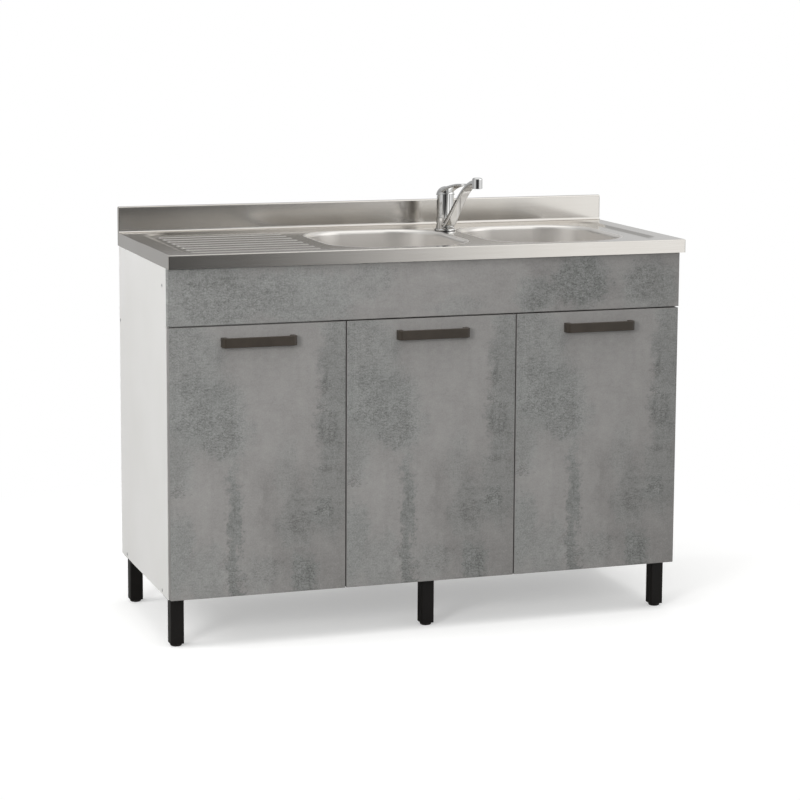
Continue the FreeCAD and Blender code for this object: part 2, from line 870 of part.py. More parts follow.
def strainer(x):
    """The lift-out basket: a rimmed cup with a ring of slots and a pull knob."""
    y = bowl_centre_y
    top = waste_seat + waste_flange
    low = top - strainer_height
    cup = post(x, y, strainer_radius, low, top + seat_gap)
    room = post(x, y, strainer_radius - strainer_wall, low + strainer_wall, top + strainer_wall)
    slots = []
    for i in range(strainer_slots):
        turn = 360.0 * i / strainer_slots
        slot = box(strainer_slot_inner, strainer_slot_outer, -strainer_wall, strainer_wall,
                   -strainer_wall, 2 * strainer_wall)
        slot.rotate(V(0, 0, 0), Z_AXIS, turn)
        slots.append(moved(slot, V(x, y, low)))
    lip = ring(x, y, strainer_radius + strainer_lip, strainer_radius - strainer_wall,
               top + seat_gap, top + seat_gap + strainer_wall)
    knob = [lip, post(x, y, knob_neck_radius, low + strainer_wall, top - knob_height)]
    knob.append(Part.makeSphere(knob_radius, V(x, y, top - knob_height)))
    return union([cut_all(cup.cut(room), slots)] + knob)


def bent_pipe(x, sign, radius):
    """A pipe down from a waste's tail and round to the trap's neck, as a solid of one radius."""
    y = bowl_centre_y
    bend_top = branch_height + pipe_bend
    heel = V(x, y, bend_top)
    middle = V(x + sign * pipe_bend, y, bend_top)
    run_start = V(x + sign * pipe_bend, y, branch_height)
    run_end = V(trap_x - sign * trap_neck_radius, y, branch_height)
    circle = Part.Face(Part.Wire(Part.Circle(heel, Z_AXIS, radius).toShape()))
    bend = circle.revolve(middle, V(0, -sign, 0), 90)
    down = rod(radius, V(x, y, tail_end), heel)
    return down.fuse([bend, rod(radius, run_start, run_end)])


def drain_pipe(x, sign):
    """The bent pipe with its nuts, solid first and then bored in one cut."""
    y = bowl_centre_y
    face = trap_x - sign * trap_neck_radius
    outside = [bent_pipe(x, sign, pipe_radius)]
    outside.append(post(x, y, pipe_radius + nut_width, tail_end - nut_height / 2, tail_end))
    outside.append(rod(pipe_radius + nut_width, V(face - sign * nut_height, y, branch_height),
                       V(face, y, branch_height)))
    return union(outside).cut(bent_pipe(x, sign, pipe_radius - pipe_wall))


def trap_body():
    """The bottle of the trap with its neck and the two side inlets."""
    x = trap_x
    y = bowl_centre_y
    neck_top = branch_height + pipe_radius + nut_width
    outside = [post(x, y, trap_radius, trap_bottom + trap_cup_height, trap_top)]
    outside.append(post(x, y, trap_neck_radius, trap_top, neck_top))
    room = [post(x, y, trap_radius - pipe_wall, trap_bottom, trap_top - pipe_wall)]
    room.append(post(x, y, pipe_radius - pipe_wall, trap_bottom, neck_top - pipe_wall))
    room.append(rod(pipe_radius - pipe_wall, V(x - trap_radius, y, branch_height),
                    V(x + trap_radius, y, branch_height)))
    room.append(rod(pipe_radius - pipe_wall, V(x, y, outlet_height), V(x, y + 2 * trap_radius, outlet_height)))
    return cut_all(union(outside), room)


def trap_cup():
    """The screw-off cup at the foot of the trap, with grip ribs round its collar."""
    x = trap_x
    y = bowl_centre_y
    high = trap_bottom + trap_cup_height
    cup = post(x, y, trap_radius, trap_bottom, high)
    low_edges = [edge for edge in cup.Edges if edge.BoundBox.ZMax < trap_bottom + sheet]
    cup = cup.makeFillet(trap_cup_edge, low_edges)
    collar = [post(x, y, trap_radius + nut_width, high - 3 * nut_width, high)]
    for i in range(collar_notches):
        turn = 2 * math.pi * i / collar_notches
        reach = trap_radius + nut_width
        collar.append(post(x + reach * math.cos(turn), y + reach * math.sin(turn), sheet * 2,
                           high - 3 * nut_width, high))
    room = post(x, y, trap_radius - 2 * pipe_wall, trap_bottom + 2 * pipe_wall, high + pipe_wall)
    return union([cup] + collar).cut(room)


def trap_outlet():
    """The straight spigot that runs back to the wall drain, with its nut on the trap."""
    x = trap_x
    start = V(x, bowl_centre_y, outlet_height)
    end = V(x, carcass_back, outlet_height)
    nut_end = V(x, bowl_centre_y + trap_radius + nut_height, outlet_height)
    body = rod(pipe_radius, start, end).fuse(rod(pipe_radius + nut_width, start, nut_end))
    bore = rod(pipe_radius - pipe_wall, start, end + V(0, pipe_wall, 0))
    bottle = post(x, bowl_centre_y, trap_radius, trap_bottom, trap_top)
    return body.cut(bore).cut(bottle).removeSplitter()


# ---------------------------------------------------------------- tap
def tap_shape(profile):
    outline = rounded_polygon(profile, lambda a, b: V(tap_x + a, tap_y, tap_seat + b))
    return Part.Face(outline).revolve(V(tap_x, tap_y, 0), Z_AXIS, 360)


def tilted(shape):
    """Lean a shape made about the tap's pivot back by the tilt of the cartridge."""
    shape.rotate(tap_pivot, X_AXIS, -tap_tilt)
    return shape


def over_pivot(radius, z0, z1):
    return Part.makeCylinder(radius, z1 - z0, tap_pivot + V(0, 0, z0), Z_AXIS)


def above_pivot(low):
    reach = 4 * cap_outer_radius
    return moved(box(-reach, reach, -reach, reach, low, low + reach), tap_pivot)


def tap_body():
    """The cast body: base flange, the core that the spout turns on, and the slanted head."""
    bore_top = 2 * cap_outer_radius + tap_rim_height
    profile = [
        (0, 0, 0),
        (tap_base_radius, 0, 0),
        (tap_base_radius, tap_base_height, tap_base_height / 2),
        (tap_core_radius, tap_base_height, 0),
        (tap_core_radius, spout_ring_top + spout_clearance, 0),
        (tap_body_radius, spout_ring_top + spout_clearance, sheet),
        (tap_body_radius, bore_top, 0),
        (0, bore_top, 0),
    ]
    bore = tilted(over_pivot(cartridge_radius + pin_clearance, -cartridge_depth, 2 * bore_top))
    return cut_all(tap_shape(profile), [tilted(above_pivot(0)), bore])


def tap_cartridge():
    return tilted(over_pivot(cartridge_radius, -cartridge_depth, -turntable_depth - sheet))


def tap_dome():
    """The round cover over the cartridge that the lever's cap slides round."""
    ball = Part.makeSphere(dome_radius, tap_pivot).common(above_pivot(0))
    tools = [above_pivot(dome_top), over_pivot(dome_room_radius, -sheet, dome_top - cup_wall)]
    tools.append(over_pivot(dome_hole_radius, 0, dome_top + cup_wall))
    return tilted(cut_all(ball, tools))


def tap_turntable():
    """The turning head of the cartridge: a disc with two ears and the lever's cross pin."""
    disc = over_pivot(cartridge_radius - seat_gap, -turntable_depth, -stem_radius - seat_gap)
    ears = []
    for side in (-1, 1):
        ear = box(ear_gap, ear_gap + ear_thickness, -stem_radius, stem_radius, -turntable_depth, stem_radius)
        if side < 0:
            ear.rotate(V(0, 0, 0), Z_AXIS, 180)
        ears.append(moved(ear, tap_pivot))
    reach = ear_gap + ear_thickness / 2
    pin = rod(link_pin_radius, tap_pivot - V(reach, 0, 0), tap_pivot + V(reach, 0, 0))
    return tilted(union([disc, pin] + ears))


def blade_section(reach, height, width, thickness, slope):
    """A flat oblong section across a blade that runs forward from the tap."""
    lean = math.radians(slope)
    along = V(0, -math.cos(lean), math.sin(lean))
    across = V(0, math.sin(lean), math.cos(lean))
    centre = V(tap_x, tap_y - reach, tap_seat + height)
    corner = thickness / blade_roundness
    corners = [
        (-width / 2, -thickness / 2, corner),
        (width / 2, -thickness / 2, corner),
        (width / 2, thickness / 2, corner),
        (-width / 2, thickness / 2, corner),
    ]
    return rounded_polygon(corners, lambda a, b: centre + X_AXIS * a + across * b)


def tap_spout():
    """The turning spout: a ring round the core, an arched flat arm and a nozzle."""
    top = spout_ring_top
    low = tap_base_height + spout_clearance
    body = [moved(post(tap_x, tap_y, spout_ring_radius, low, top), V(0, 0, tap_seat))]
    sections = [blade_section(*section) for section in arm_sections]
    body.append(Part.makeLoft(sections, True, False))
    nozzle = moved(post(tap_x, tap_y - spout_reach, nozzle_radius, nozzle_bottom, nozzle_top),
                   V(0, 0, tap_seat))
    top_edge = [edge for edge in nozzle.Edges if edge.BoundBox.ZMin > tap_seat + nozzle_top - sheet]
    body.append(nozzle.makeFillet(nozzle_edge, top_edge))
    whole = body[0].fuse(body[1:]).removeSplitter()
    core = post(tap_x, tap_y, tap_core_radius + spout_clearance, tap_seat, tap_seat + nozzle_top)
    neck = post(tap_x, tap_y, tap_body_radius + 2 * spout_clearance, tap_seat + top, tap_seat + nozzle_top)
    base = post(tap_x, tap_y, tap_base_radius + tap_base_height, tap_seat, tap_seat + low)
    mouth = post(tap_x, tap_y - spout_reach, aerator_radius + pin_clearance, tap_seat + nozzle_bottom - sheet,
                 tap_seat + nozzle_bottom + aerator_height)
    return cut_all(whole, [core, neck, base, mouth])


def tap_aerator():
    low = tap_seat + nozzle_bottom - sheet
    high = tap_seat + nozzle_bottom + aerator_height
    y = tap_y - spout_reach
    ring_part = ring(tap_x, y, aerator_radius, aerator_radius - 2 * sheet, low, high)
    screen = [post(tap_x, y, aerator_radius - sheet, low + 2 * sheet, low + 3 * sheet)]
    return union([ring_part] + screen)


def tap_lever():
    """The lever: a round cap over the dome, the stem under it and a flat blade."""
    shell = Part.makeSphere(cap_outer_radius, tap_pivot).cut(Part.makeSphere(cap_inner_radius, tap_pivot))
    lifted = above_pivot(sheet)
    lifted.rotate(tap_pivot, X_AXIS, lever_lift)
    cap = tilted(shell.common(above_pivot(sheet)).common(lifted))
    sections = [blade_section(*section) for section in lever_sections]
    blade = Part.makeLoft(sections, True, False).cut(Part.makeSphere(cap_inner_radius, tap_pivot))
    stem = over_pivot(stem_radius, 0, (cap_inner_radius + cap_outer_radius) / 2)
    stem = tilted(stem.fuse(Part.makeSphere(stem_radius, tap_pivot)))
    eye = rod(link_pin_radius + pin_clearance, tap_pivot - V(2 * stem_radius, 0, 0),
              tap_pivot + V(2 * stem_radius, 0, 0))
    return union([cap, blade, stem]).cut(tilted(eye))


def tap_shank():
    """The threaded shank under the deck with the bores for the two supply tails."""
    low = tap_seat - shank_length
    bores = [post(tap_x + side * port_spacing / 2, tap_y, port_radius, low - sheet, low + port_depth)
             for side in (-1, 1)]
    return cut_all(post(tap_x, tap_y, shank_radius, low, tap_seat), bores)


def tap_plate():
    """The stiffening plate that spreads the nut's pull under the thin sheet."""
    high = well_floor - sheet
    outline = rounded_rectangle(tap_x, tap_y, plate_length / 2, plate_width / 2, shank_radius / 2,
                                high - plate_thickness)
    plate = extruded(outline, V(0, 0, plate_thickness))
    return plate.cut(post(tap_x, tap_y, shank_radius + seat_gap, high - 2 * plate_thickness, high))


def tap_nut():
    high = well_floor - sheet - plate_thickness
    corners = []
    for i in range(6):
        turn = math.radians(60 * i)
        corners.append((tap_x + tap_nut_radius * math.cos(turn), tap_y + tap_nut_radius * math.sin(turn), 0))
    outline = rounded_polygon(corners, lambda a, b: V(a, b, high - nut_height))
    nut = extruded(outline, V(0, 0, nut_height))
    return nut.cut(post(tap_x, tap_y, shank_radius + pin_clearance, high - 2 * nut_height, high))


# ---------------------------------------------------------------- every node
def all_nodes():
    nodes = {
        "side_panel_left": side_panel(carcass_left, 1),
        "side_panel_right": side_panel(carcass_right, -1),
        "bottom_panel": bottom_panel(),
        "partition_panel": partition_panel(),
        "front_rail": front_rail(),
        "rear_rail": rear_rail(),
        "fascia_board": fascia_board(),
        "fascia_blocks": fascia_blocks(),
        "carcass_screws": carcass_screws(),
        "door_bumpers": door_bumpers(),
        "leg_tubes": leg_tubes(),
        "leg_plugs": leg_plugs(),
        "sink_deck": sink_deck(),
        "bowl_left": bowl(left_bowl_x),
        "bowl_right": bowl(right_bowl_x),
        "waste_left": waste(left_bowl_x),
        "waste_right": waste(right_bowl_x),
        "seals": seals(),
        "waste_collars": waste_collars(),
        "strainer_left": strainer(left_bowl_x),
        "strainer_right": strainer(right_bowl_x),
        "drain_pipe_left": drain_pipe(left_bowl_x, 1),
        "drain_pipe_right": drain_pipe(right_bowl_x, -1),
        "trap_body": trap_body(),
        "trap_cup": trap_cup(),
        "trap_outlet": trap_outlet(),
        "tap_body": tap_body(),
        "tap_cartridge": tap_cartridge(),
        "tap_dome": tap_dome(),
        "tap_turntable": tap_turntable(),
        "tap_lever": tap_lever(),
        "tap_spout": tap_spout(),
        "tap_aerator": tap_aerator(),
        "tap_shank": tap_shank(),
        "tap_plate": tap_plate(),
        "tap_nut": tap_nut(),
    }
    for index, side in enumerate(leg_names):
        nodes["door_" + side] = door(index)
        nodes["handle_" + side] = handle(index)
        nodes["handle_screws_" + side] = handle_screws(index)
        nodes["hinge_cups_" + side] = hinge_cups(index)
        nodes["hinge_arms_" + side] = hinge_arms(index)
        nodes["hinge_links_" + side] = hinge_links(index)
        nodes["foot_front_" + side] = leg_foot(leg_xs[index], leg_ys[0])
        nodes["foot_rear_" + side] = leg_foot(leg_xs[index], leg_ys[1])
    return nodes


os.makedirs("parts", exist_ok=True)
for name, shape in all_nodes().items():
    shape.exportStep("parts/" + name + ".step")
    print(name, len(shape.Solids), round(shape.Volume), shape.isValid())
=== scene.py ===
# %% [markdown]
# # A kitchen sink unit in its studio
# The cabinet, its steel top and its tap come from the CAD frame. This lesson gives them their
# looks: the pressed steel sheet with its ribs and bowls, the printed board of the doors, the
# chrome of the tap, and a white studio that the metal can mirror.

# %% Load the frame
import math
import bpy
import bmesh
from mathutils import Matrix, Vector


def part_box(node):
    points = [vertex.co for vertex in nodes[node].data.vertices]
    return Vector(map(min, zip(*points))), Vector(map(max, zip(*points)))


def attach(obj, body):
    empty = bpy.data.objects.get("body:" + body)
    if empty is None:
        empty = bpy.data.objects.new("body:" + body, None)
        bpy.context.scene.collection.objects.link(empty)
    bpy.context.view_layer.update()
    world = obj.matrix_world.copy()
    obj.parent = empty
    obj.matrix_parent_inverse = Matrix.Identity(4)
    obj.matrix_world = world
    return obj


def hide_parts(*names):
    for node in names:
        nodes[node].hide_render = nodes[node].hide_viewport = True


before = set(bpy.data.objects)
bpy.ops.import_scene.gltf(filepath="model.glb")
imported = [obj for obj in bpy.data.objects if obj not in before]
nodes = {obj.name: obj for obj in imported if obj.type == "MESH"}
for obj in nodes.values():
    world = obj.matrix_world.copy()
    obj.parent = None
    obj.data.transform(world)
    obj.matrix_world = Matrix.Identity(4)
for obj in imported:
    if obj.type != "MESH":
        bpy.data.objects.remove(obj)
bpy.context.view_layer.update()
scene = bpy.context.scene
scene.view_settings.view_transform = "Standard"
MM = 0.001

# %% [markdown]
# The photographer stood to the left of the unit, a little above the worktop, with a long lens,
# so the uprights stay almost parallel. The camera's place was worked out from the corners of
# the real unit, in millimetres, and a small shift puts it in the frame as the photograph has it.

# %% Camera
VIEW_FOCAL_PX = 2407.0
VIEW_PLACE = Vector((-1767.4, -5164.3, 1427.6)) * MM
VIEW_YAW = 18.891
VIEW_PITCH = 7.934
VIEW_ROLL = 0.303
VIEW_SHIFT_PX = 80.0
FRAME_PX = 800.0


def aim_camera():
    data = bpy.data.cameras.new("studio_camera")
    data.sensor_width = 36.0
    data.lens = VIEW_FOCAL_PX / FRAME_PX * data.sensor_width
    data.shift_y = -VIEW_SHIFT_PX / FRAME_PX
    data.clip_end = 100.0
    camera = bpy.data.objects.new("studio_camera", data)
    scene.collection.objects.link(camera)
    turn = Matrix.Rotation(math.radians(-VIEW_YAW), 4, "Z")
    tip = Matrix.Rotation(math.radians(90 - VIEW_PITCH), 4, "X")
    roll = Matrix.Rotation(math.radians(VIEW_ROLL), 4, "Z")
    camera.matrix_world = Matrix.Translation(VIEW_PLACE) @ turn @ tip @ roll
    scene.camera = camera
    return camera


print("camera lens", round(aim_camera().data.lens, 1), "mm")

# %% [markdown]
# Colours are noted as sRGB hex values, as a swatch book gives them. Blender's shaders count in
# linear light, so one function turns them. One more function adds any node, with its settings
# and its links, and every material and every Geometry Nodes tree below is built with it.

# %% Colours and nodes
def colour(code):
    values = [int(code[i:i + 2], 16) / 255 for i in (1, 3, 5)]
    return [v / 12.92 if v <= 0.04045 else ((v + 0.055) / 1.055) ** 2.4 for v in values] + [1.0]


def feed(tree, socket, value):
    """Set a socket to a value, or link it from a socket or from a node's first output."""
    if isinstance(value, bpy.types.Node):
        value = value.outputs[0]
    if isinstance(value, bpy.types.NodeSocket):
        tree.links.new(value, socket)
    else:
        socket.default_value = value


def set_stops(line, stops):
    """Give a colour ramp its stops: a place along it and a hex colour or a brightness at each."""
    line.elements[0].position = stops[0][0]
    line.elements[-1].position = stops[-1][0]
    for place, value in stops[1:-1]:
        line.elements.new(place)
    for element, (place, value) in zip(line.elements, stops):
        element.color = colour(value) if isinstance(value, str) else (value, value, value, 1.0)


def add(tree, kind, inputs=None, stops=None, **settings):
    """Add one node. Settings go on the node, and its inputs are values, sockets or other nodes."""
    node = tree.nodes.new(kind)
    for name, value in settings.items():
        setattr(node, name, value)
    if stops:
        set_stops(node.color_ramp, stops)
    for name, value in (inputs or {}).items():
        feed(tree, node.inputs[name], value)
    return node


EVEN = (1, 1, 1)


def grain(tree, place, grain_mm, detail=2.0, roughness=0.5, stretch=EVEN):
    """A cloudy pattern whose grains are grain_mm wide, longer where stretch is more than 1."""
    per_metre = [1.0 / (grain_mm * MM * s) for s in stretch]
    spread = add(tree, "ShaderNodeMapping", {"Vector": place, "Scale": per_metre})
    inputs = {"Vector": spread, "Scale": 1.0, "Detail": detail, "Roughness": roughness}
    return add(tree, "ShaderNodeTexNoise", inputs).outputs["Fac"]


def material(name):
    made = bpy.data.materials.new(name)
    made.use_nodes = True
    tree = made.node_tree
    tree.nodes.clear()
    shader = add(tree, "ShaderNodeBsdfPrincipled")
    add(tree, "ShaderNodeOutputMaterial", {"Surface": shader})
    place = add(tree, "ShaderNodeTexCoord").outputs["Object"]
    return made, tree, shader, place


def finish_shader(tree, shader, inputs, height, depth_mm):
    """Give the shader its inputs, and a bump from a height pattern that is depth_mm deep."""
    for name, value in inputs.items():
        feed(tree, shader.inputs[name], value)
    bump = add(tree, "ShaderNodeBump", {"Height": height, "Distance": depth_mm * MM, "Strength": 1.0})
    feed(tree, shader.inputs["Normal"], bump)


print("helpers ready, mid grey is", round(colour("#808080")[0], 3), "in linear light")

# %% [markdown]
# The sink top is stainless steel sheet, rolled and then satin polished before it is pressed.
# The finish leaves hair-fine lines that a photograph of the whole unit can't show one by one.
# They only blur the reflections, so the roughness varies in long soft strokes, and a faint
# bump stands for the slight waves that pressing leaves in a thin sheet. The bowls are drawn
# deep and brushed again by hand, which leaves them rougher and silkier than the top. Their fine
# scratches scatter part of the light as a matt surface does, so they are set less than metallic.

# %% Stainless steel
STROKE_MM, STROKE_STRETCH, STROKE_SHARE = 2.0, 60, 0.6
CLOUD_MM = 90.0
ROUGHNESS_SWING = 0.12
WAVE_DEPTH_MM = 0.05


def stainless_steel(name, tint, rough, wave_mm, metallic=1.0):
    made, tree, shader, place = material(name)
    strokes = grain(tree, place, STROKE_MM, 3.0, 0.6, (STROKE_STRETCH, 1, 1))
    strokes = add(tree, "ShaderNodeMath", {0: strokes, 1: STROKE_SHARE}, operation="MULTIPLY")
    clouds = grain(tree, place, CLOUD_MM, 2.0, 0.5)
    clouds = add(tree, "ShaderNodeMath", {0: clouds, 1: 1 - STROKE_SHARE}, operation="MULTIPLY")
    blend = add(tree, "ShaderNodeMath", {0: strokes, 1: clouds}, operation="ADD")
    smooth, dull = rough * (1 - ROUGHNESS_SWING), rough * (1 + ROUGHNESS_SWING)
    roughness = add(tree, "ShaderNodeMapRange", {"Value": blend, "To Min": smooth, "To Max": dull})
    shade = add(tree, "ShaderNodeValToRGB", {"Fac": blend}, stops=[(0.3, tint[0]), (0.7, tint[1])])
    waves = grain(tree, place, wave_mm, 1.0, 0.4)
    inputs = {"Base Color": shade, "Metallic": metallic, "Roughness": roughness}
    finish_shader(tree, shader, inputs, waves, WAVE_DEPTH_MM)
    return made


satin_steel = stainless_steel("stainless_steel_satin", ("#CBC7C1", "#D3D0CB"), 0.14, 120.0)
silk_steel = stainless_steel("stainless_steel_silk", ("#DCD9D5", "#DEDBD7"), 0.30, 90.0, 0.76)
waste_steel = stainless_steel("stainless_steel_bright", ("#D0CECA", "#DAD8D5"), 0.14, 60.0)
print("steels", satin_steel.name, silk_steel.name, waste_steel.name)

# %% [markdown]
# The tap is cast brass, polished and plated with nickel and chrome: a mirror with a cool tint.
# The plating is so smooth that only a trace of roughness and a faint orange-peel bump remain.

# %% Chrome-plated brass
PEEL_MM, PEEL_DEPTH_MM = 6.0, 0.01
FILM_MM, FILM_ROUGHNESS = 14.0, (0.02, 0.05)
TINT_MM = 30.0


def chrome_plating():
    made, tree, shader, place = material("chrome_plated_brass")
    peel = grain(tree, place, PEEL_MM)
    film = {"Value": grain(tree, place, FILM_MM), "To Min": FILM_ROUGHNESS[0], "To Max": FILM_ROUGHNESS[1]}
    film = add(tree, "ShaderNodeMapRange", film)
    tint = grain(tree, place, TINT_MM)
    shade = add(tree, "ShaderNodeValToRGB", {"Fac": tint}, stops=[(0.3, "#D8D8D7"), (0.7, "#E3E3E2")])
    inputs = {"Base Color": shade, "Metallic": 1.0, "Roughness": film}
    finish_shader(tree, shader, inputs, peel, PEEL_DEPTH_MM)
    return made


chrome = chrome_plating()
print("chrome", chrome.name)

# %% [markdown]
# The small hidden metal parts are steel with bright zinc and turned brass. The moulded parts
# are polypropylene, nylon, ABS and rubber, and the legs and handles are powder coated. Each has
# a fine surface of its own, rolled, machined, moulded or sprayed, and a little colour change
# across it. The fine grain is about a millimetre, as coarse as a close view needs to show it.

# %% Small parts' materials
CLOUDS_PER_GRAIN = 25
FINE_SWING = 0.08


def simple_finish(name, tint, rough, metallic, grain_mm, depth_mm, stretch=EVEN, specular=0.5):
    made, tree, shader, place = material(name)
    fine = grain(tree, place, grain_mm, 3.0, 0.6, stretch)
    broad = grain(tree, place, grain_mm * CLOUDS_PER_GRAIN)
    shade = add(tree, "ShaderNodeValToRGB", {"Fac": broad}, stops=[(0.3, tint[0]), (0.7, tint[1])])
    ends = {"Value": fine, "To Min": rough - FINE_SWING, "To Max": rough + FINE_SWING}
    inputs = {"Base Color": shade, "Metallic": metallic, "Specular IOR Level": specular,
              "Roughness": add(tree, "ShaderNodeMapRange", ends)}
    finish_shader(tree, shader, inputs, fine, depth_mm)
    return made


zinc_steel = simple_finish("zinc_plated_steel", ("#B4B7B8", "#C6C8C9"), 0.30, 1.0, 1.5, 0.02)
brass = simple_finish("machined_brass", ("#B8944E", "#C9A660"), 0.28, 1.0, 1.0, 0.03, (1, 1, 0.2))
white_plastic = simple_finish("moulded_polypropylene", ("#E4E4E1", "#ECECEA"), 0.42, 0.0, 1.0, 0.03)
black_plastic = simple_finish("moulded_black_nylon", ("#1E1B19", "#292523"), 0.45, 0.0, 0.9, 0.04)
sealing_rubber = simple_finish("nitrile_rubber", ("#1C1B1A", "#262524"), 0.68, 0.0, 0.8, 0.05)
grey_nylon = simple_finish("grey_nylon_block", ("#C9C9C6", "#D4D4D2"), 0.45, 0.0, 1.0, 0.03)
leg_coat = simple_finish(
    "black_powder_coated_steel", ("#0F0C0A", "#14110F"), 0.46, 0.0, 1.4, 0.05, specular=0.35)
handle_coat = simple_finish(
    "bronze_powder_coated_zinc", ("#3A342D", "#423B34"), 0.44, 0.0, 1.2, 0.04, specular=0.4)
edge_plastic = simple_finish("abs_edge_band", ("#817F7D", "#8C8A88"), 0.46, 0.0, 1.2, 0.03, specular=0.4)
print("small finishes", len(bpy.data.materials))

# %% [markdown]
# The carcass is white melamine-faced chipboard. The face is a paper soaked in resin, pressed
# against a steel plate with a fine pearl texture, so it is matt with a soft sheen.

# %% White melamine-faced chipboard
PEARL_MM, PEARL_DEPTH_MM, PEARL_ROUGHNESS = 1.6, 0.04, (0.42, 0.56)
PAPER_CLOUD_MM = 220.0


def melamine(name, tint):
    made, tree, shader, place = material(name)
    pearl = grain(tree, place, PEARL_MM, 3.0, 0.6)
    cloud = grain(tree, place, PAPER_CLOUD_MM)
    shade = add(tree, "ShaderNodeValToRGB", {"Fac": cloud}, stops=[(0.3, tint[0]), (0.7, tint[1])])
    ends = {"Value": pearl, "To Min": PEARL_ROUGHNESS[0], "To Max": PEARL_ROUGHNESS[1]}
    inputs = {"Base Color": shade, "Roughness": add(tree, "ShaderNodeMapRange", ends)}
    finish_shader(tree, shader, inputs, pearl, PEARL_DEPTH_MM)
    return made


white_melamine = melamine("white_melamine_board", ("#E2E1DE", "#E8E7E5"))
print("board", white_melamine.name)

# %% [markdown]
# The doors and the fascia are chipboard faced with a printed concrete-effect laminate. Every
# door is cut from the same sheet, so the same print comes back on each: a smooth warm field in
# the upper middle, cool mottled patches at the upper left and down the right side, and soft
# upright streaks below. The broad forms are ellipses set out over one door, and noise will fray
# their edges.

# %% The patches of the print
DOOR_PITCH = 0.396
DOOR_LEFT = -0.6
DOOR_FOOT = 0.112
DOOR_HEIGHT = 0.592
FASCIA_LENGTH = 1.188
FASCIA_FOOT = 0.707
FASCIA_HEIGHT = 0.123

# centre across, centre up, half width, half height (shares of the door), strength
COOL_PATCHES = [
    (0.10, 0.86, 0.20, 0.20, 0.8), (0.15, 0.70, 0.26, 0.16, 1.0), (0.31, 0.61, 0.16, 0.10, 0.9),
    (0.05, 0.52, 0.10, 0.14, 0.7), (0.95, 0.86, 0.11, 0.24, 0.8), (0.93, 0.62, 0.10, 0.20, 0.8),
    (0.91, 0.36, 0.12, 0.18, 0.6), (0.04, 0.16, 0.10, 0.16, 0.9), (0.36, 0.20, 0.045, 0.34, 1.0),
    (0.20, 0.08, 0.12, 0.12, 0.7), (0.76, 0.07, 0.09, 0.08, 1.0), (0.72, 0.27, 0.12, 0.12, 0.6),
    (0.52, 0.08, 0.12, 0.08, 0.5), (0.66, 0.44, 0.08, 0.14, 0.4), (0.86, 0.30, 0.08, 0.06, 0.9),
]
PALE_PATCHES = [
    (0.60, 0.80, 0.22, 0.20, 1.0), (0.56, 0.60, 0.18, 0.16, 0.8), (0.15, 0.36, 0.12, 0.14, 1.0),
    (0.27, 0.24, 0.035, 0.22, 0.8), (0.46, 0.36, 0.05, 0.16, 0.6), (0.76, 0.52, 0.08, 0.10, 0.4),
]
CRACK_PATCHES = [
    (0.30, 0.62, 0.13, 0.09, 1.0), (0.14, 0.66, 0.13, 0.06, 1.0), (0.88, 0.77, 0.05, 0.035, 1.0),
    (0.87, 0.66, 0.05, 0.025, 1.0), (0.89, 0.58, 0.05, 0.05, 0.8), (0.89, 0.45, 0.06, 0.025, 0.9),
    (0.87, 0.31, 0.06, 0.03, 1.0), (0.74, 0.26, 0.07, 0.05, 0.8), (0.12, 0.78, 0.10, 0.06, 0.8),
    (0.06, 0.92, 0.12, 0.08, 0.6), (0.76, 0.07, 0.08, 0.06, 0.9), (0.36, 0.05, 0.06, 0.06, 0.7),
    (0.30, 0.76, 0.08, 0.03, 0.6), (0.05, 0.40, 0.05, 0.02, 1.0), (0.55, 0.10, 0.12, 0.04, 0.6),
]
SHADE_PATCHES = [
    (0.84, 0.18, 0.30, 0.30, 1.0), (0.96, 0.55, 0.14, 0.50, 0.9), (0.36, 0.16, 0.05, 0.30, 1.0),
    (0.62, 0.36, 0.16, 0.12, 0.5),
]
# the same for the fascia, in shares of its length and height
FASCIA_COOL = [
    (0.06, 0.50, 0.13, 0.80, 0.9), (0.24, 0.45, 0.12, 0.55, 0.9), (0.38, 0.65, 0.05, 0.35, 0.6),
    (0.71, 0.30, 0.05, 0.35, 0.9), (0.80, 0.58, 0.06, 0.55, 1.0), (0.94, 0.40, 0.06, 0.50, 0.8),
    (0.55, 0.15, 0.06, 0.20, 0.5),
]
FASCIA_PALE = [(0.30, 0.60, 0.08, 0.50, 0.7), (0.48, 0.50, 0.10, 0.60, 0.9), (0.63, 0.60, 0.05, 0.50, 0.6)]
FASCIA_SHADES = [(0.78, 0.50, 0.10, 0.70, 0.8), (0.97, 0.50, 0.06, 0.60, 0.9), (0.10, 0.80, 0.10, 0.20, 0.5)]
FASCIA_CRACKS = [
    (0.79, 0.50, 0.06, 0.40, 1.0), (0.72, 0.30, 0.03, 0.20, 0.8), (0.10, 0.40, 0.09, 0.40, 0.8),
    (0.93, 0.50, 0.04, 0.30, 0.8), (0.20, 0.50, 0.05, 0.30, 0.5), (0.42, 0.80, 0.02, 0.12, 0.7),
]
# for each print: its groups of patches, how far noise may push a spot, and the way streaks run
DOOR_PRINT = ((COOL_PATCHES, PALE_PATCHES, CRACK_PATCHES, SHADE_PATCHES), (0.18, 0.12), (1, 1, 7))
FASCIA_PRINT = ((FASCIA_COOL, FASCIA_PALE, FASCIA_CRACKS, FASCIA_SHADES), (0.06, 0.50), (7, 1, 1))
print("patches on a door", sum(len(group) for group in DOOR_PRINT[0]))

# %% [markdown]
# A print like this is made of zones, each with its own share of noise. First come the tools: an
# ellipse that fades at its edge, a noise that swings either side of nothing, a push that makes
# the edges of the patches wander, and the spot on the printed sheet where a point lies.

# %% Tools for the print
PATCH_CORE, PATCH_EDGE = 0.65, 1.25
# the fascia is cut from another slice of the pattern, so that it doesn't repeat a door
FASCIA_SLICE = 0.3


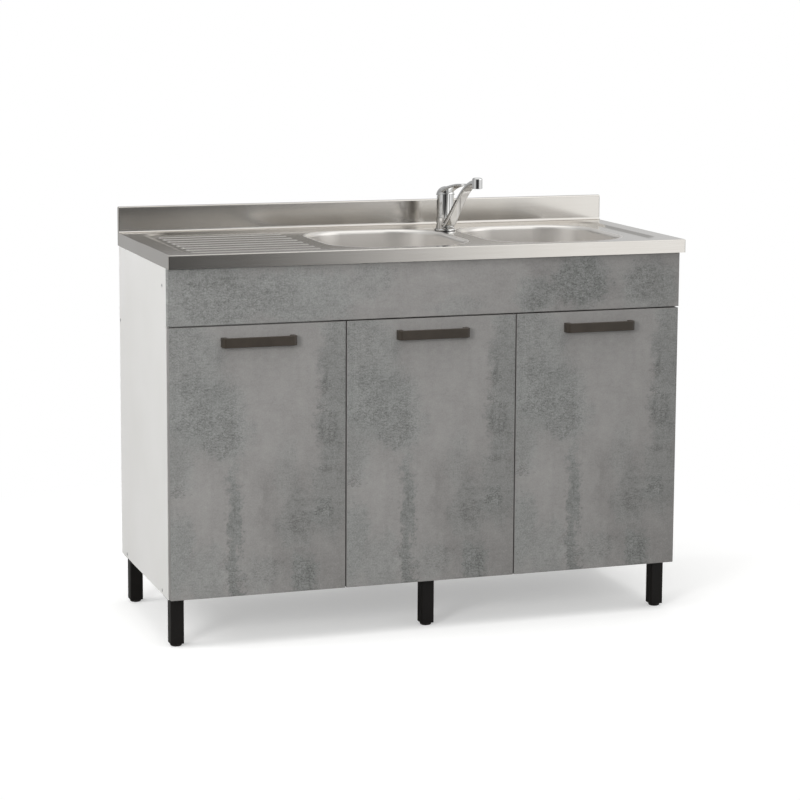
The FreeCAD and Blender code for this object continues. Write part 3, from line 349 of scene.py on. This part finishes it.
def patches(tree, spot, shapes):
    """The strongest of several soft ellipses at this spot, from 0 outside to 1 in the middle."""
    total = None
    for across, up, half_across, half_up, strength in shapes:
        scale = (1 / half_across, 1 / half_up, 1.0)
        local = add(tree, "ShaderNodeVectorMath", {0: spot, 1: (across, up, 0.0)}, operation="SUBTRACT")
        local = add(tree, "ShaderNodeVectorMath", {0: local, 1: scale}, operation="MULTIPLY")
        reach = add(tree, "ShaderNodeVectorMath", {0: local}, operation="LENGTH").outputs["Value"]
        ends = {"Value": reach, "From Min": PATCH_CORE, "From Max": PATCH_EDGE,
                "To Min": strength, "To Max": 0.0}
        fade = add(tree, "ShaderNodeMapRange", ends, interpolation_type="SMOOTHSTEP")
        if total is not None:
            fade = add(tree, "ShaderNodeMath", {0: total, 1: fade}, operation="MAXIMUM")
        total = fade
    return total


def swing(tree, value, amount):
    """A noise value turned into a swing either side of nothing, as wide as the amount."""
    centred = add(tree, "ShaderNodeMath", {0: value, 1: 0.5}, operation="SUBTRACT")
    return add(tree, "ShaderNodeMath", {0: centred, 1: amount}, operation="MULTIPLY")


def wandering(tree, spot, sheet, grain_mm, reach, share):
    """Push the spot about, so that the edges of the patches wander and fray."""
    inputs = {"Vector": sheet, "Scale": 1 / (grain_mm * MM), "Detail": 3.0, "Roughness": 0.7}
    push = add(tree, "ShaderNodeTexNoise", inputs).outputs["Color"]
    push = add(tree, "ShaderNodeVectorMath", {0: push, 1: (0.5, 0.5, 0.5)}, operation="SUBTRACT")
    width = (reach[0] * share, reach[1] * share, 0.0)
    push = add(tree, "ShaderNodeVectorMath", {0: push, 1: width}, operation="MULTIPLY")
    return add(tree, "ShaderNodeVectorMath", {0: spot, 1: push}, operation="ADD")


def printed_spot(tree, place, upright):
    """Where a point lies on the printed sheet: in metres for the noise, in shares for the patches."""
    split = add(tree, "ShaderNodeSeparateXYZ", {0: place})
    x, z = split.outputs["X"], split.outputs["Z"]
    along = add(tree, "ShaderNodeMath", {0: x, 1: DOOR_LEFT}, operation="SUBTRACT")
    if upright:
        along = add(tree, "ShaderNodeMath", {0: along, 1: DOOR_PITCH}, operation="FLOORED_MODULO")
        length, foot, height = DOOR_PITCH, DOOR_FOOT, DOOR_HEIGHT
        sheet = add(tree, "ShaderNodeCombineXYZ", {0: along, 1: 0.0, 2: z})
    else:
        length, foot, height = FASCIA_LENGTH, FASCIA_FOOT, FASCIA_HEIGHT
        sheet = add(tree, "ShaderNodeCombineXYZ", {0: x, 1: FASCIA_SLICE, 2: z})
    across = add(tree, "ShaderNodeMath", {0: along, 1: length}, operation="DIVIDE")
    rise = add(tree, "ShaderNodeMath", {0: z, 1: foot}, operation="SUBTRACT")
    up = add(tree, "ShaderNodeMath", {0: rise, 1: height}, operation="DIVIDE")
    return sheet, add(tree, "ShaderNodeCombineXYZ", {0: across, 1: up, 2: 0.0})


print("a patch fades out at", PATCH_EDGE, "times its half width")

# %% [markdown]
# The tone at a spot starts from the middle of the scale. Pale, cool and shaded zones lift or
# lower it, and four sizes of noise swing it, the two finer ones more widely in the cool zones.
# Dark flakes and hair cracks come last. The real specks are finer than a pixel of the
# photograph, so the finest noise is drawn about three millimetres wide. The tone then picks a
# grey, a little warmer in the smooth fields and cooler in the patches.

# %% Concrete-effect laminate
TONE_MIDDLE = 0.56
PALE_LIFT, COOL_LIFT, SHADE_LIFT = 0.07, -0.02, -0.11
SPECKLE_SWING, MOTTLE_SWING = (0.44, 0.36), (0.50, 0.26)
CLOUD_SWING, STREAK_SWING = 0.32, 0.14
FLAKE_BAND, FLAKE_DARK = (0.54, 0.66), 0.10
HAIR_WIDTH = 0.05
CRACK_DARK, COOL_CRACK_DARK = 0.24, 0.07
# each pattern: grain in millimetres, detail, roughness and, where it is drawn out, its stretch
SPECKLE, MOTTLE = (3.4, 2.0, 0.8), (10.0, 4.0, 0.72, (1.5, 1, 1))
CLOUDS, STREAKS = (60.0, 4.0, 0.6), (18.0, 3.0, 0.6)
HAIRS = (6.0, 3.0, 0.75, (2.6, 1, 1))
# each push: grain in millimetres, share of the reach
WANDERINGS = ((70.0, 1.0), (26.0, 0.8), (9.0, 0.6))
WARM_GREYS = [(0.0, "#4F4E4D"), (0.30, "#7C7A78"), (0.5, "#93918F"), (0.72, "#A4A2A0"), (1.0, "#B9B8B6")]
COLD_GREYS = [(0.0, "#4E4F4D"), (0.30, "#7A7B79"), (0.5, "#90918F"), (0.72, "#A2A3A1"), (1.0, "#B7B8B6")]
LAMINATE_ROUGHNESS, LAMINATE_SPECULAR, SPECKLE_DEPTH_MM = (0.46, 0.62), 0.4, 0.06


def dark_marks(tree, sheet, mottle, cool, crack_zone):
    """The dark flakes of the cool zones, and the hair cracks where the crack zones are."""
    ends = {"Value": mottle, "From Min": FLAKE_BAND[0], "From Max": FLAKE_BAND[1]}
    flake = add(tree, "ShaderNodeMapRange", ends)
    flake_zone = add(tree, "ShaderNodeMath", {0: cool, 1: FLAKE_DARK}, operation="MULTIPLY")
    flakes = add(tree, "ShaderNodeMath", {0: flake, 1: flake_zone}, operation="MULTIPLY")
    hair = grain(tree, sheet, *HAIRS)
    hair = add(tree, "ShaderNodeMath", {0: hair, 1: 0.5}, operation="SUBTRACT")
    hair = add(tree, "ShaderNodeMath", {0: hair}, operation="ABSOLUTE")
    ends = {"Value": hair, "From Max": HAIR_WIDTH, "To Min": 1.0, "To Max": 0.0}
    hair = add(tree, "ShaderNodeMapRange", ends)
    zone = add(tree, "ShaderNodeMath", {0: cool, 1: COOL_CRACK_DARK}, operation="MULTIPLY")
    zone = add(tree, "ShaderNodeMath", {0: crack_zone, 1: CRACK_DARK, 2: zone}, operation="MULTIPLY_ADD")
    return add(tree, "ShaderNodeMath", {0: hair, 1: zone, 2: flakes}, operation="MULTIPLY_ADD")


def laminate(name, upright):
    made, tree, shader, place = material(name)
    groups, reach, streak = DOOR_PRINT if upright else FASCIA_PRINT
    sheet, spot = printed_spot(tree, place, upright)
    for grain_mm, share in WANDERINGS:
        spot = wandering(tree, spot, sheet, grain_mm, reach, share)
    cool, pale, crack_zone, shade_zone = (patches(tree, spot, group) for group in groups)
    speckle, mottle = grain(tree, sheet, *SPECKLE), grain(tree, sheet, *MOTTLE)
    clouds, streaks = grain(tree, sheet, *CLOUDS), grain(tree, sheet, *STREAKS, streak)
    tone = TONE_MIDDLE
    for zone, lift in ((pale, PALE_LIFT), (cool, COOL_LIFT), (shade_zone, SHADE_LIFT)):
        tone = add(tree, "ShaderNodeMath", {0: zone, 1: lift, 2: tone}, operation="MULTIPLY_ADD")
    wide = [add(tree, "ShaderNodeMath", {0: cool, 1: more, 2: least}, operation="MULTIPLY_ADD")
            for more, least in (SPECKLE_SWING, MOTTLE_SWING)]
    swings = (speckle, wide[0]), (mottle, wide[1]), (clouds, CLOUD_SWING), (streaks, STREAK_SWING)
    for value, amount in swings:
        tone = add(tree, "ShaderNodeMath", {0: tone, 1: swing(tree, value, amount)}, operation="ADD")
    marks = dark_marks(tree, sheet, mottle, cool, crack_zone)
    tone = add(tree, "ShaderNodeMath", {0: tone, 1: marks}, operation="SUBTRACT", use_clamp=True)
    warm = add(tree, "ShaderNodeValToRGB", {"Fac": tone}, stops=WARM_GREYS)
    cold = add(tree, "ShaderNodeValToRGB", {"Fac": tone}, stops=COLD_GREYS)
    shade = add(tree, "ShaderNodeMix", {0: cool, 6: warm, 7: cold}, data_type="RGBA").outputs[2]
    ends = {"Value": mottle, "To Min": LAMINATE_ROUGHNESS[0], "To Max": LAMINATE_ROUGHNESS[1]}
    inputs = {"Base Color": shade, "Specular IOR Level": LAMINATE_SPECULAR,
              "Roughness": add(tree, "ShaderNodeMapRange", ends)}
    finish_shader(tree, shader, inputs, speckle, SPECKLE_DEPTH_MM)
    return made


door_laminate = laminate("concrete_effect_laminate", True)
fascia_laminate = laminate("concrete_effect_laminate_fascia", False)
print("laminates", door_laminate.name, fascia_laminate.name)

# %% [markdown]
# Each CAD node keeps its shape and gets the material of the real piece.

# %% Dress the CAD nodes
SIDES = ("left", "middle", "right")
DRESS = {
    "side_panel_left": white_melamine, "side_panel_right": white_melamine, "bottom_panel": white_melamine,
    "partition_panel": white_melamine, "front_rail": white_melamine, "rear_rail": white_melamine,
    "fascia_board": fascia_laminate, "fascia_blocks": grey_nylon, "carcass_screws": zinc_steel,
    "door_bumpers": sealing_rubber, "leg_tubes": leg_coat, "leg_plugs": black_plastic,
    "sink_deck": satin_steel, "bowl_left": silk_steel, "bowl_right": silk_steel,
    "waste_left": waste_steel, "waste_right": waste_steel, "seals": sealing_rubber,
    "waste_collars": white_plastic, "strainer_left": waste_steel, "strainer_right": waste_steel,
    "drain_pipe_left": white_plastic, "drain_pipe_right": white_plastic, "trap_body": white_plastic,
    "trap_cup": white_plastic, "trap_outlet": white_plastic, "tap_body": chrome, "tap_dome": chrome,
    "tap_turntable": chrome, "tap_lever": chrome, "tap_spout": chrome, "tap_cartridge": white_plastic,
    "tap_aerator": white_plastic, "tap_shank": brass, "tap_nut": brass, "tap_plate": zinc_steel,
}
for side in SIDES:
    DRESS["door_" + side] = door_laminate
    DRESS["handle_" + side] = handle_coat
    DRESS["handle_screws_" + side] = zinc_steel
    DRESS["hinge_cups_" + side] = zinc_steel
    DRESS["hinge_arms_" + side] = zinc_steel
    DRESS["hinge_links_" + side] = zinc_steel
    for row in ("front", "rear"):
        DRESS["foot_" + row + "_" + side] = black_plastic
for name, finish in DRESS.items():
    finishes = nodes[name].data.materials
    finishes.clear()
    finishes.append(finish)
print("dressed", len(DRESS), "of", len(nodes))

# %% [markdown]
# Screws, grip bumps and edge bands repeat or follow a path, so Geometry Nodes make them. Each
# tree is built here with named inputs for its sizes. It runs on a small holder mesh, whose
# points say where the copies go and whose axis attribute says which way each one faces. The
# result is kept as a plain mesh, because an exported model has no use for live modifiers.

# %% Geometry Nodes helpers
SHARP_EDGE = math.radians(35)


def new_tree(name, sizes):
    """A tree with a geometry input, one named input for each size, a material and an output."""
    tree = bpy.data.node_groups.new(name, "GeometryNodeTree")
    kinds = {label: "NodeSocketInt" if label == "Count" else "NodeSocketFloat" for label in sizes}
    kinds = {"Geometry": "NodeSocketGeometry", **kinds, "Material": "NodeSocketMaterial"}
    for label, kind in kinds.items():
        tree.interface.new_socket(label, in_out="INPUT", socket_type=kind)
    tree.interface.new_socket("Geometry", in_out="OUTPUT", socket_type="NodeSocketGeometry")
    return tree, add(tree, "NodeGroupInput").outputs


def close_tree(tree, given, shape):
    """Set copies of the shape on the holder's points, along each point's axis, and end the tree."""
    axis = add(tree, "GeometryNodeInputNamedAttribute", {"Name": "axis"}, data_type="FLOAT_VECTOR")
    turn = add(tree, "FunctionNodeAlignRotationToVector", {"Vector": axis}, axis="Z")
    inputs = {"Points": given["Geometry"], "Instance": shape, "Rotation": turn}
    copies = add(tree, "GeometryNodeInstanceOnPoints", inputs)
    real = add(tree, "GeometryNodeRealizeInstances", {"Geometry": copies})
    painted = add(tree, "GeometryNodeSetMaterial", {"Geometry": real, "Material": given["Material"]})
    add(tree, "NodeGroupOutput", {"Geometry": painted})
    return tree


def grown(name, tree, finish, sizes, points):
    """Run a tree on points, each a place and an axis, and keep a plain mesh of what it makes."""
    seed = bpy.data.meshes.new(name + "_points")
    seed.from_pydata([place for place, axis in points], [], [])
    axes = seed.attributes.new("axis", "FLOAT_VECTOR", "POINT")
    for entry, (place, axis) in zip(axes.data, points):
        entry.vector = axis
    holder = bpy.data.objects.new(name + "_holder", seed)
    scene.collection.objects.link(holder)
    growth = holder.modifiers.new("growth", "NODES")
    growth.node_group = tree
    values = dict(sizes, Material=finish)
    for socket in tree.interface.items_tree:
        if socket.in_out == "INPUT" and socket.name in values:
            growth[socket.identifier] = values[socket.name]
    alive = holder.evaluated_get(bpy.context.evaluated_depsgraph_get())
    mesh = bpy.data.meshes.new_from_object(alive)
    bpy.data.objects.remove(holder)
    mesh.name = name
    mesh.shade_smooth()
    mesh.set_sharp_from_angle(angle=SHARP_EDGE)
    piece = bpy.data.objects.new(name, mesh)
    scene.collection.objects.link(piece)
    print(name, "points", len(points), "faces", len(mesh.polygons))
    return piece


def centre(node):
    low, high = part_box(node)
    return [(a + b) / 2 for a, b in zip(low, high)]


print("the unit's middle door is centred at", [round(v, 3) for v in centre("door_middle")])

# %% [markdown]
# The carcass is held together by chipboard screws: a countersunk head with a cross recess, and
# a coarse thread that cuts its way into the board. In the tree the head is a cone, the recess is
# two crossed bars cut out of it, one a little deeper than the other so that their floors don't
# coincide, and the thread is a small triangle led along a spiral.

# %% The screw's tree
SCREW_SIZES = ("Top Radius", "Foot Radius", "Head Height", "Recess Length", "Recess Width",
               "Shank Radius", "Shank Length", "Turns", "Thread")
RECESS_BARS = (("X", "Y", 1.0), ("Y", "X", 1.1))
THREAD_RUN, THREAD_START = 0.9, -0.98
HEAD_FACETS, SHANK_FACETS, TURN_STEPS = 32, 20, 16


def screw_head(tree, given):
    height = given["Head Height"]
    inputs = {"Vertices": HEAD_FACETS, "Radius Top": given["Top Radius"],
              "Radius Bottom": given["Foot Radius"], "Depth": height}
    head = add(tree, "GeometryNodeMeshCone", inputs).outputs["Mesh"]
    rise = add(tree, "ShaderNodeCombineXYZ", {"Z": height})
    for long_side, short_side, depth in RECESS_BARS:
        inputs = {long_side: given["Recess Length"], short_side: given["Recess Width"],
                  "Z": add(tree, "ShaderNodeMath", {0: height, 1: depth}, operation="MULTIPLY")}
        extent = add(tree, "ShaderNodeCombineXYZ", inputs)
        bar = add(tree, "GeometryNodeMeshCube", {"Size": extent}).outputs["Mesh"]
        bar = add(tree, "GeometryNodeTransform", {"Geometry": bar, "Translation": rise})
        head = add(tree, "GeometryNodeMeshBoolean", {"Mesh 1": head, "Mesh 2": bar}, operation="DIFFERENCE")
    return head


def screw_tree():
    tree, given = new_tree("cross_recess_screw", SCREW_SIZES)
    head = screw_head(tree, given)
    length, radius = given["Shank Length"], given["Shank Radius"]
    places = []
    for share in (-0.5, THREAD_START):
        height = add(tree, "ShaderNodeMath", {0: length, 1: share}, operation="MULTIPLY")
        places.append(add(tree, "ShaderNodeCombineXYZ", {"Z": height}))
    inputs = {"Vertices": SHANK_FACETS, "Radius": radius, "Depth": length}
    shank = add(tree, "GeometryNodeMeshCylinder", inputs).outputs["Mesh"]
    shank = add(tree, "GeometryNodeTransform", {"Geometry": shank, "Translation": places[0]})
    run = add(tree, "ShaderNodeMath", {0: length, 1: THREAD_RUN}, operation="MULTIPLY")
    inputs = {"Resolution": TURN_STEPS, "Rotations": given["Turns"], "Start Radius": radius,
              "End Radius": radius, "Height": run}
    spiral = add(tree, "GeometryNodeCurveSpiral", inputs)
    ridge = add(tree, "GeometryNodeCurvePrimitiveCircle", {"Resolution": 3, "Radius": given["Thread"]})
    inputs = {"Curve": spiral, "Profile Curve": ridge, "Fill Caps": True}
    thread = add(tree, "GeometryNodeCurveToMesh", inputs)
    thread = add(tree, "GeometryNodeTransform", {"Geometry": thread, "Translation": places[1]})
    screw = add(tree, "GeometryNodeJoinGeometry")
    for shape in (head, shank, thread):
        feed(tree, screw.inputs[0], shape)
    return close_tree(tree, given, screw)


SCREW = screw_tree()
print("screw tree nodes", len(SCREW.nodes))

# %% [markdown]
# Eight of these screws go through the side panels, four on each side, and take the place of the
# plainer CAD ones. The hinge plates have the same screw with a low pan head that stands on the
# plate, so the one tree serves for both, with other numbers.

# %% Screws of the carcass and of the hinge plates
PANEL_SCREW = {
    "Top Radius": 4.0 * MM, "Foot Radius": 2.0 * MM, "Head Height": 4.0 * MM, "Recess Length": 4.6 * MM,
    "Recess Width": 1.1 * MM, "Shank Radius": 1.5 * MM, "Shank Length": 46.0 * MM, "Turns": 16.0,
    "Thread": 0.5 * MM,
}
PAN_HEAD = {
    "Top Radius": 2.3 * MM, "Foot Radius": 3.1 * MM, "Head Height": 1.6 * MM, "Recess Length": 3.4 * MM,
    "Shank Length": 14.0 * MM, "Turns": 5.0,
}
SCREW_INSET = 55.0 * MM
PLATE_SCREW_STEP = 16.0 * MM
PLATE_SCREW_IN = 27.0 * MM
PLATE_THICK = 2.5 * MM
HINGE_HEIGHTS = (212.0 * MM, 604.0 * MM)


def panel_screw_points():
    low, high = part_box("side_panel_left")
    floor_z = centre("bottom_panel")[2]
    spots = [centre("front_rail")[1:], centre("rear_rail")[1:]]
    spots += [(low[1] + SCREW_INSET, floor_z), (high[1] - SCREW_INSET, floor_z)]
    points = []
    for face, outward in ((low[0], -1), (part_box("side_panel_right")[1][0], 1)):
        for y, z in spots:
            points.append(((face - outward * PANEL_SCREW["Head Height"], y, z), (outward, 0, 0)))
    return points


def plate_screw_points():
    points = []
    for side in SIDES:
        low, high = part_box("hinge_arms_" + side)
        outward, face = (-1, high[0] - PLATE_THICK) if side == "right" else (1, low[0] + PLATE_THICK)
        for height in HINGE_HEIGHTS:
            for step in (-PLATE_SCREW_STEP, PLATE_SCREW_STEP):
                points.append(((face, high[1] - PLATE_SCREW_IN, height + step), (outward, 0, 0)))
    return points


carcass_screws = grown("chipboard_screws", SCREW, zinc_steel, PANEL_SCREW, panel_screw_points())
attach(carcass_screws, "carcass")
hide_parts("carcass_screws")
plate_screw = {**PANEL_SCREW, **PAN_HEAD}
plate_screws = grown("hinge_plate_screws", SCREW, zinc_steel, plate_screw, plate_screw_points())
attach(plate_screws, "carcass")

# %% [markdown]
# Each levelling foot is turned by hand, so its rim is moulded with small upright grip bumps. The
# tree sets a bump on every point of a circle, and each foot gets its own mesh, because each one
# turns by itself.

# %% Grip bumps on the feet
GRIP_SIZES = {"Count": 24, "Rim Radius": 12.4 * MM, "Bump Radius": 0.7 * MM, "Bump Height": 1.7 * MM}
GRIP_RISE = 3.6 * MM
BUMP_SEGMENTS, BUMP_RINGS = 8, 6


def grip_tree():
    tree, given = new_tree("grip_bumps", GRIP_SIZES)
    rim = add(tree, "GeometryNodeMeshCircle", {"Vertices": given["Count"], "Radius": given["Rim Radius"]})
    inputs = {"Segments": BUMP_SEGMENTS, "Rings": BUMP_RINGS, "Radius": given["Bump Radius"]}
    bump = add(tree, "GeometryNodeMeshUVSphere", inputs)
    inputs = {0: given["Bump Height"], 1: given["Bump Radius"]}
    tall = add(tree, "ShaderNodeMath", inputs, operation="DIVIDE")
    tall = add(tree, "ShaderNodeCombineXYZ", {"X": 1.0, "Y": 1.0, "Z": tall})
    bump = add(tree, "GeometryNodeTransform", {"Geometry": bump, "Scale": tall})
    bumps = add(tree, "GeometryNodeInstanceOnPoints", {"Points": rim, "Instance": bump})
    return close_tree(tree, given, bumps)


GRIP = grip_tree()
for side in SIDES:
    for row in ("front", "rear"):
        foot = "foot_" + row + "_" + side
        x, y = centre(foot)[:2]
        place = (x, y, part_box(foot)[0][2] + GRIP_RISE)
        bumps = grown(foot + "_grips", GRIP, black_plastic, GRIP_SIZES, [(place, (0, 0, 1))])
        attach(bumps, foot)

# %% [markdown]
# The doors' cut edges are covered by a thin ABS band, glued on hot: a flat profile led round a
# rectangle with its corners just broken. It is let into the edge and stands out by a hair, so
# that the gap between two doors stays free.

# %% Edge bands on the doors
BAND_SIZES = ("Width", "Height", "Thickness", "Depth", "Corner")
BAND_THICK = 0.6 * MM
BAND_PROUD = 0.12 * MM
BAND_CORNER, CORNER_STEPS = 1.0 * MM, 4
BOARD = 18.0 * MM


def band_tree():
    tree, given = new_tree("edge_band", BAND_SIZES)
    inputs = {"Width": given["Width"], "Height": given["Height"]}
    path = add(tree, "GeometryNodeCurvePrimitiveQuadrilateral", inputs)
    inputs = {"Curve": path, "Count": CORNER_STEPS, "Radius": given["Corner"]}
    path = add(tree, "GeometryNodeFilletCurve", inputs, mode="POLY")
    inputs = {"Width": given["Thickness"], "Height": given["Depth"]}
    section = add(tree, "GeometryNodeCurvePrimitiveQuadrilateral", inputs)
    band = add(tree, "GeometryNodeCurveToMesh", {"Curve": path, "Profile Curve": section})
    return close_tree(tree, given, band)


BAND = band_tree()
BAND_GROWTH = 2 * BAND_PROUD - BAND_THICK
for side in SIDES:
    low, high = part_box("door_" + side)
    width, height = high[0] - low[0] + BAND_GROWTH, high[2] - low[2] + BAND_GROWTH
    sizes = dict(zip(BAND_SIZES, (width, height, BAND_THICK, BOARD - 2 * BAND_PROUD, BAND_CORNER)))
    band = grown("edge_band_" + side, BAND, edge_plastic, sizes, [(centre("door_" + side), (0, 1, 0))])
    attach(band, "door_" + side)
    print("band spans", [round(v / MM, 1) for v in band.dimensions])

# %% [markdown]
# The studio is a white sweep. Lamps stay soft and plain. The steel needs more than that: a
# photographer sets dark cards and bright screens around metal, so that what it mirrors runs from
# dark on the left to bright on the right. Here they stand in three rows above each other in
# front, with one row behind and a soft box overhead. A card's place is how far the ray to it
# leans to the right of the middle plane, because a rib or a wall that tips up and down mirrors
# the same lean at any height.

# %% Cards around the steel
# lean to the right in degrees, brightness of the card there
FRONT_CARDS = [
    (-90, 0.70), (-60, 0.80), (-55, 0.62), (-51, 0.16), (-30, 0.12), (-24, 0.04), (8, 0.04), (14, 0.06),
    (16.5, 0.15), (18, 0.38), (20, 0.70), (21, 1.00), (22.5, 1.36), (24, 1.28), (33, 1.15), (36, 0.10),
    (42, 0.10), (44, 1.20), (62, 0.95), (90, 0.75),
]
MIDDLE_CARDS = [
    (-90, 0.80), (-60, 0.80), (-51, 0.20), (-24, 0.06), (4, 0.06), (10, 0.44), (12.9, 0.44), (13.6, 0.32),
    (16, 0.30), (19, 0.30), (21, 0.48), (24, 0.86), (33, 1.20), (44, 1.90), (62, 1.80), (90, 1.10),
]
HIGH_CARDS = [
    (-90, 0.90), (-50, 0.60), (-24, 0.34), (0, 0.26), (8, 0.14), (15, 0.10), (16.5, 0.60), (18, 1.10),
    (21, 1.40), (33, 1.40), (44, 1.60), (60, 1.70), (84, 1.50), (90, 1.30),
]
REAR_CARDS = [
    (-90, 0.60), (-40, 0.38), (8, 0.56), (12.9, 0.56), (13.5, 0.36), (16, 0.36), (20, 0.46), (26, 0.66),
    (40, 0.72), (90, 0.75),
]
SOFT_BOX = (1.3, 1.3, 1.3, 1.0)
# the rise of a ray, from -1 straight down to 1 straight up, over which one row gives way to the next
TO_MIDDLE, TO_HIGH, TO_SOFT_BOX = (0.0, 0.06), (0.16, 0.28), (0.72, 0.92)
# how far a ray points back, over which the front cards give way to the rear ones
TO_REAR = (-0.2, 0.2)
# the cards lean over: above this band of rises they start one and a half degrees further left
CARD_LEAN, LEAN_BAND = math.radians(1.5), (-0.115, -0.090)


def mirrored_cards(tree, x, y, z):
    """What a mirror ray meets: the cards' brightness in its direction."""
    ends = {"Value": z, "From Min": LEAN_BAND[0], "From Max": LEAN_BAND[1], "To Max": CARD_LEAN}
    inputs = {0: add(tree, "ShaderNodeMath", {0: x}, operation="ARCSINE"),
              1: add(tree, "ShaderNodeMapRange", ends)}
    lean = add(tree, "ShaderNodeMath", inputs, operation="ADD")
    ends = {"Value": lean, "From Min": -math.pi / 2, "From Max": math.pi / 2}
    run = add(tree, "ShaderNodeMapRange", ends)
    rows = []
    for cards in (FRONT_CARDS, MIDDLE_CARDS, HIGH_CARDS, REAR_CARDS):
        stops = [((degrees + 90) / 180, light) for degrees, light in cards]
        rows.append(add(tree, "ShaderNodeValToRGB", {"Fac": run}, stops=stops))
    seen = rows[0]
    steps = (
        (z, TO_MIDDLE, rows[1], "LINEAR"), (z, TO_HIGH, rows[2], "LINEAR"),
        (y, TO_REAR, rows[3], "LINEAR"), (z, TO_SOFT_BOX, SOFT_BOX, "SMOOTHSTEP"),
    )
    for value, (start, end), cards, fading in steps:
        ends = {"Value": value, "From Min": start, "From Max": end}
        step = add(tree, "ShaderNodeMapRange", ends, interpolation_type=fading)
        seen = add(tree, "ShaderNodeMix", {0: step, 6: seen, 7: cards}, data_type="RGBA").outputs[2]
    return seen


print("cards", sum(len(cards) for cards in (FRONT_CARDS, MIDDLE_CARDS, HIGH_CARDS, REAR_CARDS)))

# %% [markdown]
# The world gives these cards to mirror rays only. Matt surfaces get an even, pale fill that is
# weaker from below, and the camera and clear things see plain white. Three large soft lamps do
# the rest. They stay out of the mirrors, which have their cards.

# %% World and lamps
FILL, FILL_BELOW, FILL_BAND = 0.62, 0.18, (-0.15, 0.15)
WHITE = (1, 1, 1, 1)
# name, place, what it points at, size, watts
LAMPS = (
    ("key_left", (-3.4, -3.4, 1.9), (0.0, 0.0, 0.45), (1.3, 1.3), 88.0),
    ("soft_top", (0.2, -0.6, 3.6), (0.0, 0.0, 0.4), (3.0, 2.4), 62.0),
    ("side_left", (-2.9, 0.2, 2.3), (-0.6, 0.0, 0.75), (1.4, 1.4), 30.0),
)


def studio_world():
    world = bpy.data.worlds.new("studio_world")
    world.use_nodes = True
    tree = world.node_tree
    tree.nodes.clear()
    paths = add(tree, "ShaderNodeLightPath").outputs
    direction = add(tree, "ShaderNodeTexCoord").outputs["Generated"]
    x, y, z = add(tree, "ShaderNodeSeparateXYZ", {0: direction}).outputs
    ends = {"Value": z, "From Min": FILL_BAND[0], "From Max": FILL_BAND[1],
            "To Min": FILL_BELOW, "To Max": FILL}
    above = add(tree, "ShaderNodeMapRange", ends)
    seen = add(tree, "ShaderNodeBackground", {"Color": WHITE, "Strength": above})
    mirror = add(tree, "ShaderNodeBackground", {"Color": mirrored_cards(tree, x, y, z), "Strength": 1.0})
    white = add(tree, "ShaderNodeBackground", {"Color": WHITE, "Strength": 1.0})
    for ray, light in (("Is Glossy Ray", mirror), ("Is Transmission Ray", white), ("Is Camera Ray", white)):
        seen = add(tree, "ShaderNodeMixShader", {0: paths[ray], 1: seen, 2: light})
    add(tree, "ShaderNodeOutputWorld", {"Surface": seen})
    scene.world = world


def lamp(name, place, target, size, power):
    data = bpy.data.lights.new(name, "AREA")
    data.shape = "RECTANGLE"
    data.size, data.size_y = size
    data.energy = power
    light = bpy.data.objects.new(name, data)
    scene.collection.objects.link(light)
    light.location = place
    light.rotation_euler = (Vector(target) - Vector(place)).to_track_quat("-Z", "Y").to_euler()
    light.visible_glossy = False


studio_world()
for name, place, target, size, power in LAMPS:
    lamp(name, place, target, size, power)
    print("lamp", name, power, "W")

# %% [markdown]
# The floor is a sheet of white paper. Seen by the camera it is lifted a little, so that it
# melts into the white background and keeps only the soft shadow, and it fades out altogether
# some way from the unit. What it throws back on the unit is weaker, as from paper that the lamps
# only graze.

# %% Floor
FLOOR_RADIUS, FLOOR_SEGMENTS = 6.0, 96
FLOOR_FADE = (0.85, 1.6)
FLOOR_LIFT = 0.36
PAPER, DULL_PAPER = "#D9D9D8", "#949492"


def paper_sweep():
    made = bpy.data.materials.new("white_paper_sweep")
    made.use_nodes = True
    tree = made.node_tree
    tree.nodes.clear()
    paths = add(tree, "ShaderNodeLightPath").outputs
    place = add(tree, "ShaderNodeTexCoord").outputs["Object"]
    radius = add(tree, "ShaderNodeVectorMath", {0: place}, operation="LENGTH").outputs["Value"]
    ends = {"Value": radius, "From Min": FLOOR_FADE[0], "From Max": FLOOR_FADE[1]}
    fade = add(tree, "ShaderNodeMapRange", ends, interpolation_type="SMOOTHSTEP")
    paper = add(tree, "ShaderNodeBsdfDiffuse", {"Color": colour(PAPER)})
    dull_paper = add(tree, "ShaderNodeBsdfDiffuse", {"Color": colour(DULL_PAPER)})
    glow = add(tree, "ShaderNodeEmission", {"Color": WHITE, "Strength": FLOOR_LIFT})
    lifted = add(tree, "ShaderNodeAddShader", {0: paper, 1: glow})
    white = add(tree, "ShaderNodeEmission", {"Color": WHITE, "Strength": 1.0})
    clear = add(tree, "ShaderNodeBsdfTransparent")
    seen = add(tree, "ShaderNodeMixShader", {0: fade, 1: lifted, 2: white})
    unseen = add(tree, "ShaderNodeMixShader", {0: fade, 1: dull_paper, 2: clear})
    final = add(tree, "ShaderNodeMixShader", {0: paths["Is Camera Ray"], 1: unseen, 2: seen})
    add(tree, "ShaderNodeOutputMaterial", {"Surface": final})
    return made


def studio_floor():
    disc = bmesh.new()
    bmesh.ops.create_circle(disc, cap_ends=True, radius=FLOOR_RADIUS, segments=FLOOR_SEGMENTS)
    mesh = bpy.data.meshes.new("studio_floor")
    disc.to_mesh(mesh)
    disc.free()
    mesh.materials.append(paper_sweep())
    floor = bpy.data.objects.new("studio_floor", mesh)
    scene.collection.objects.link(floor)
    return floor


print("floor", studio_floor().name)
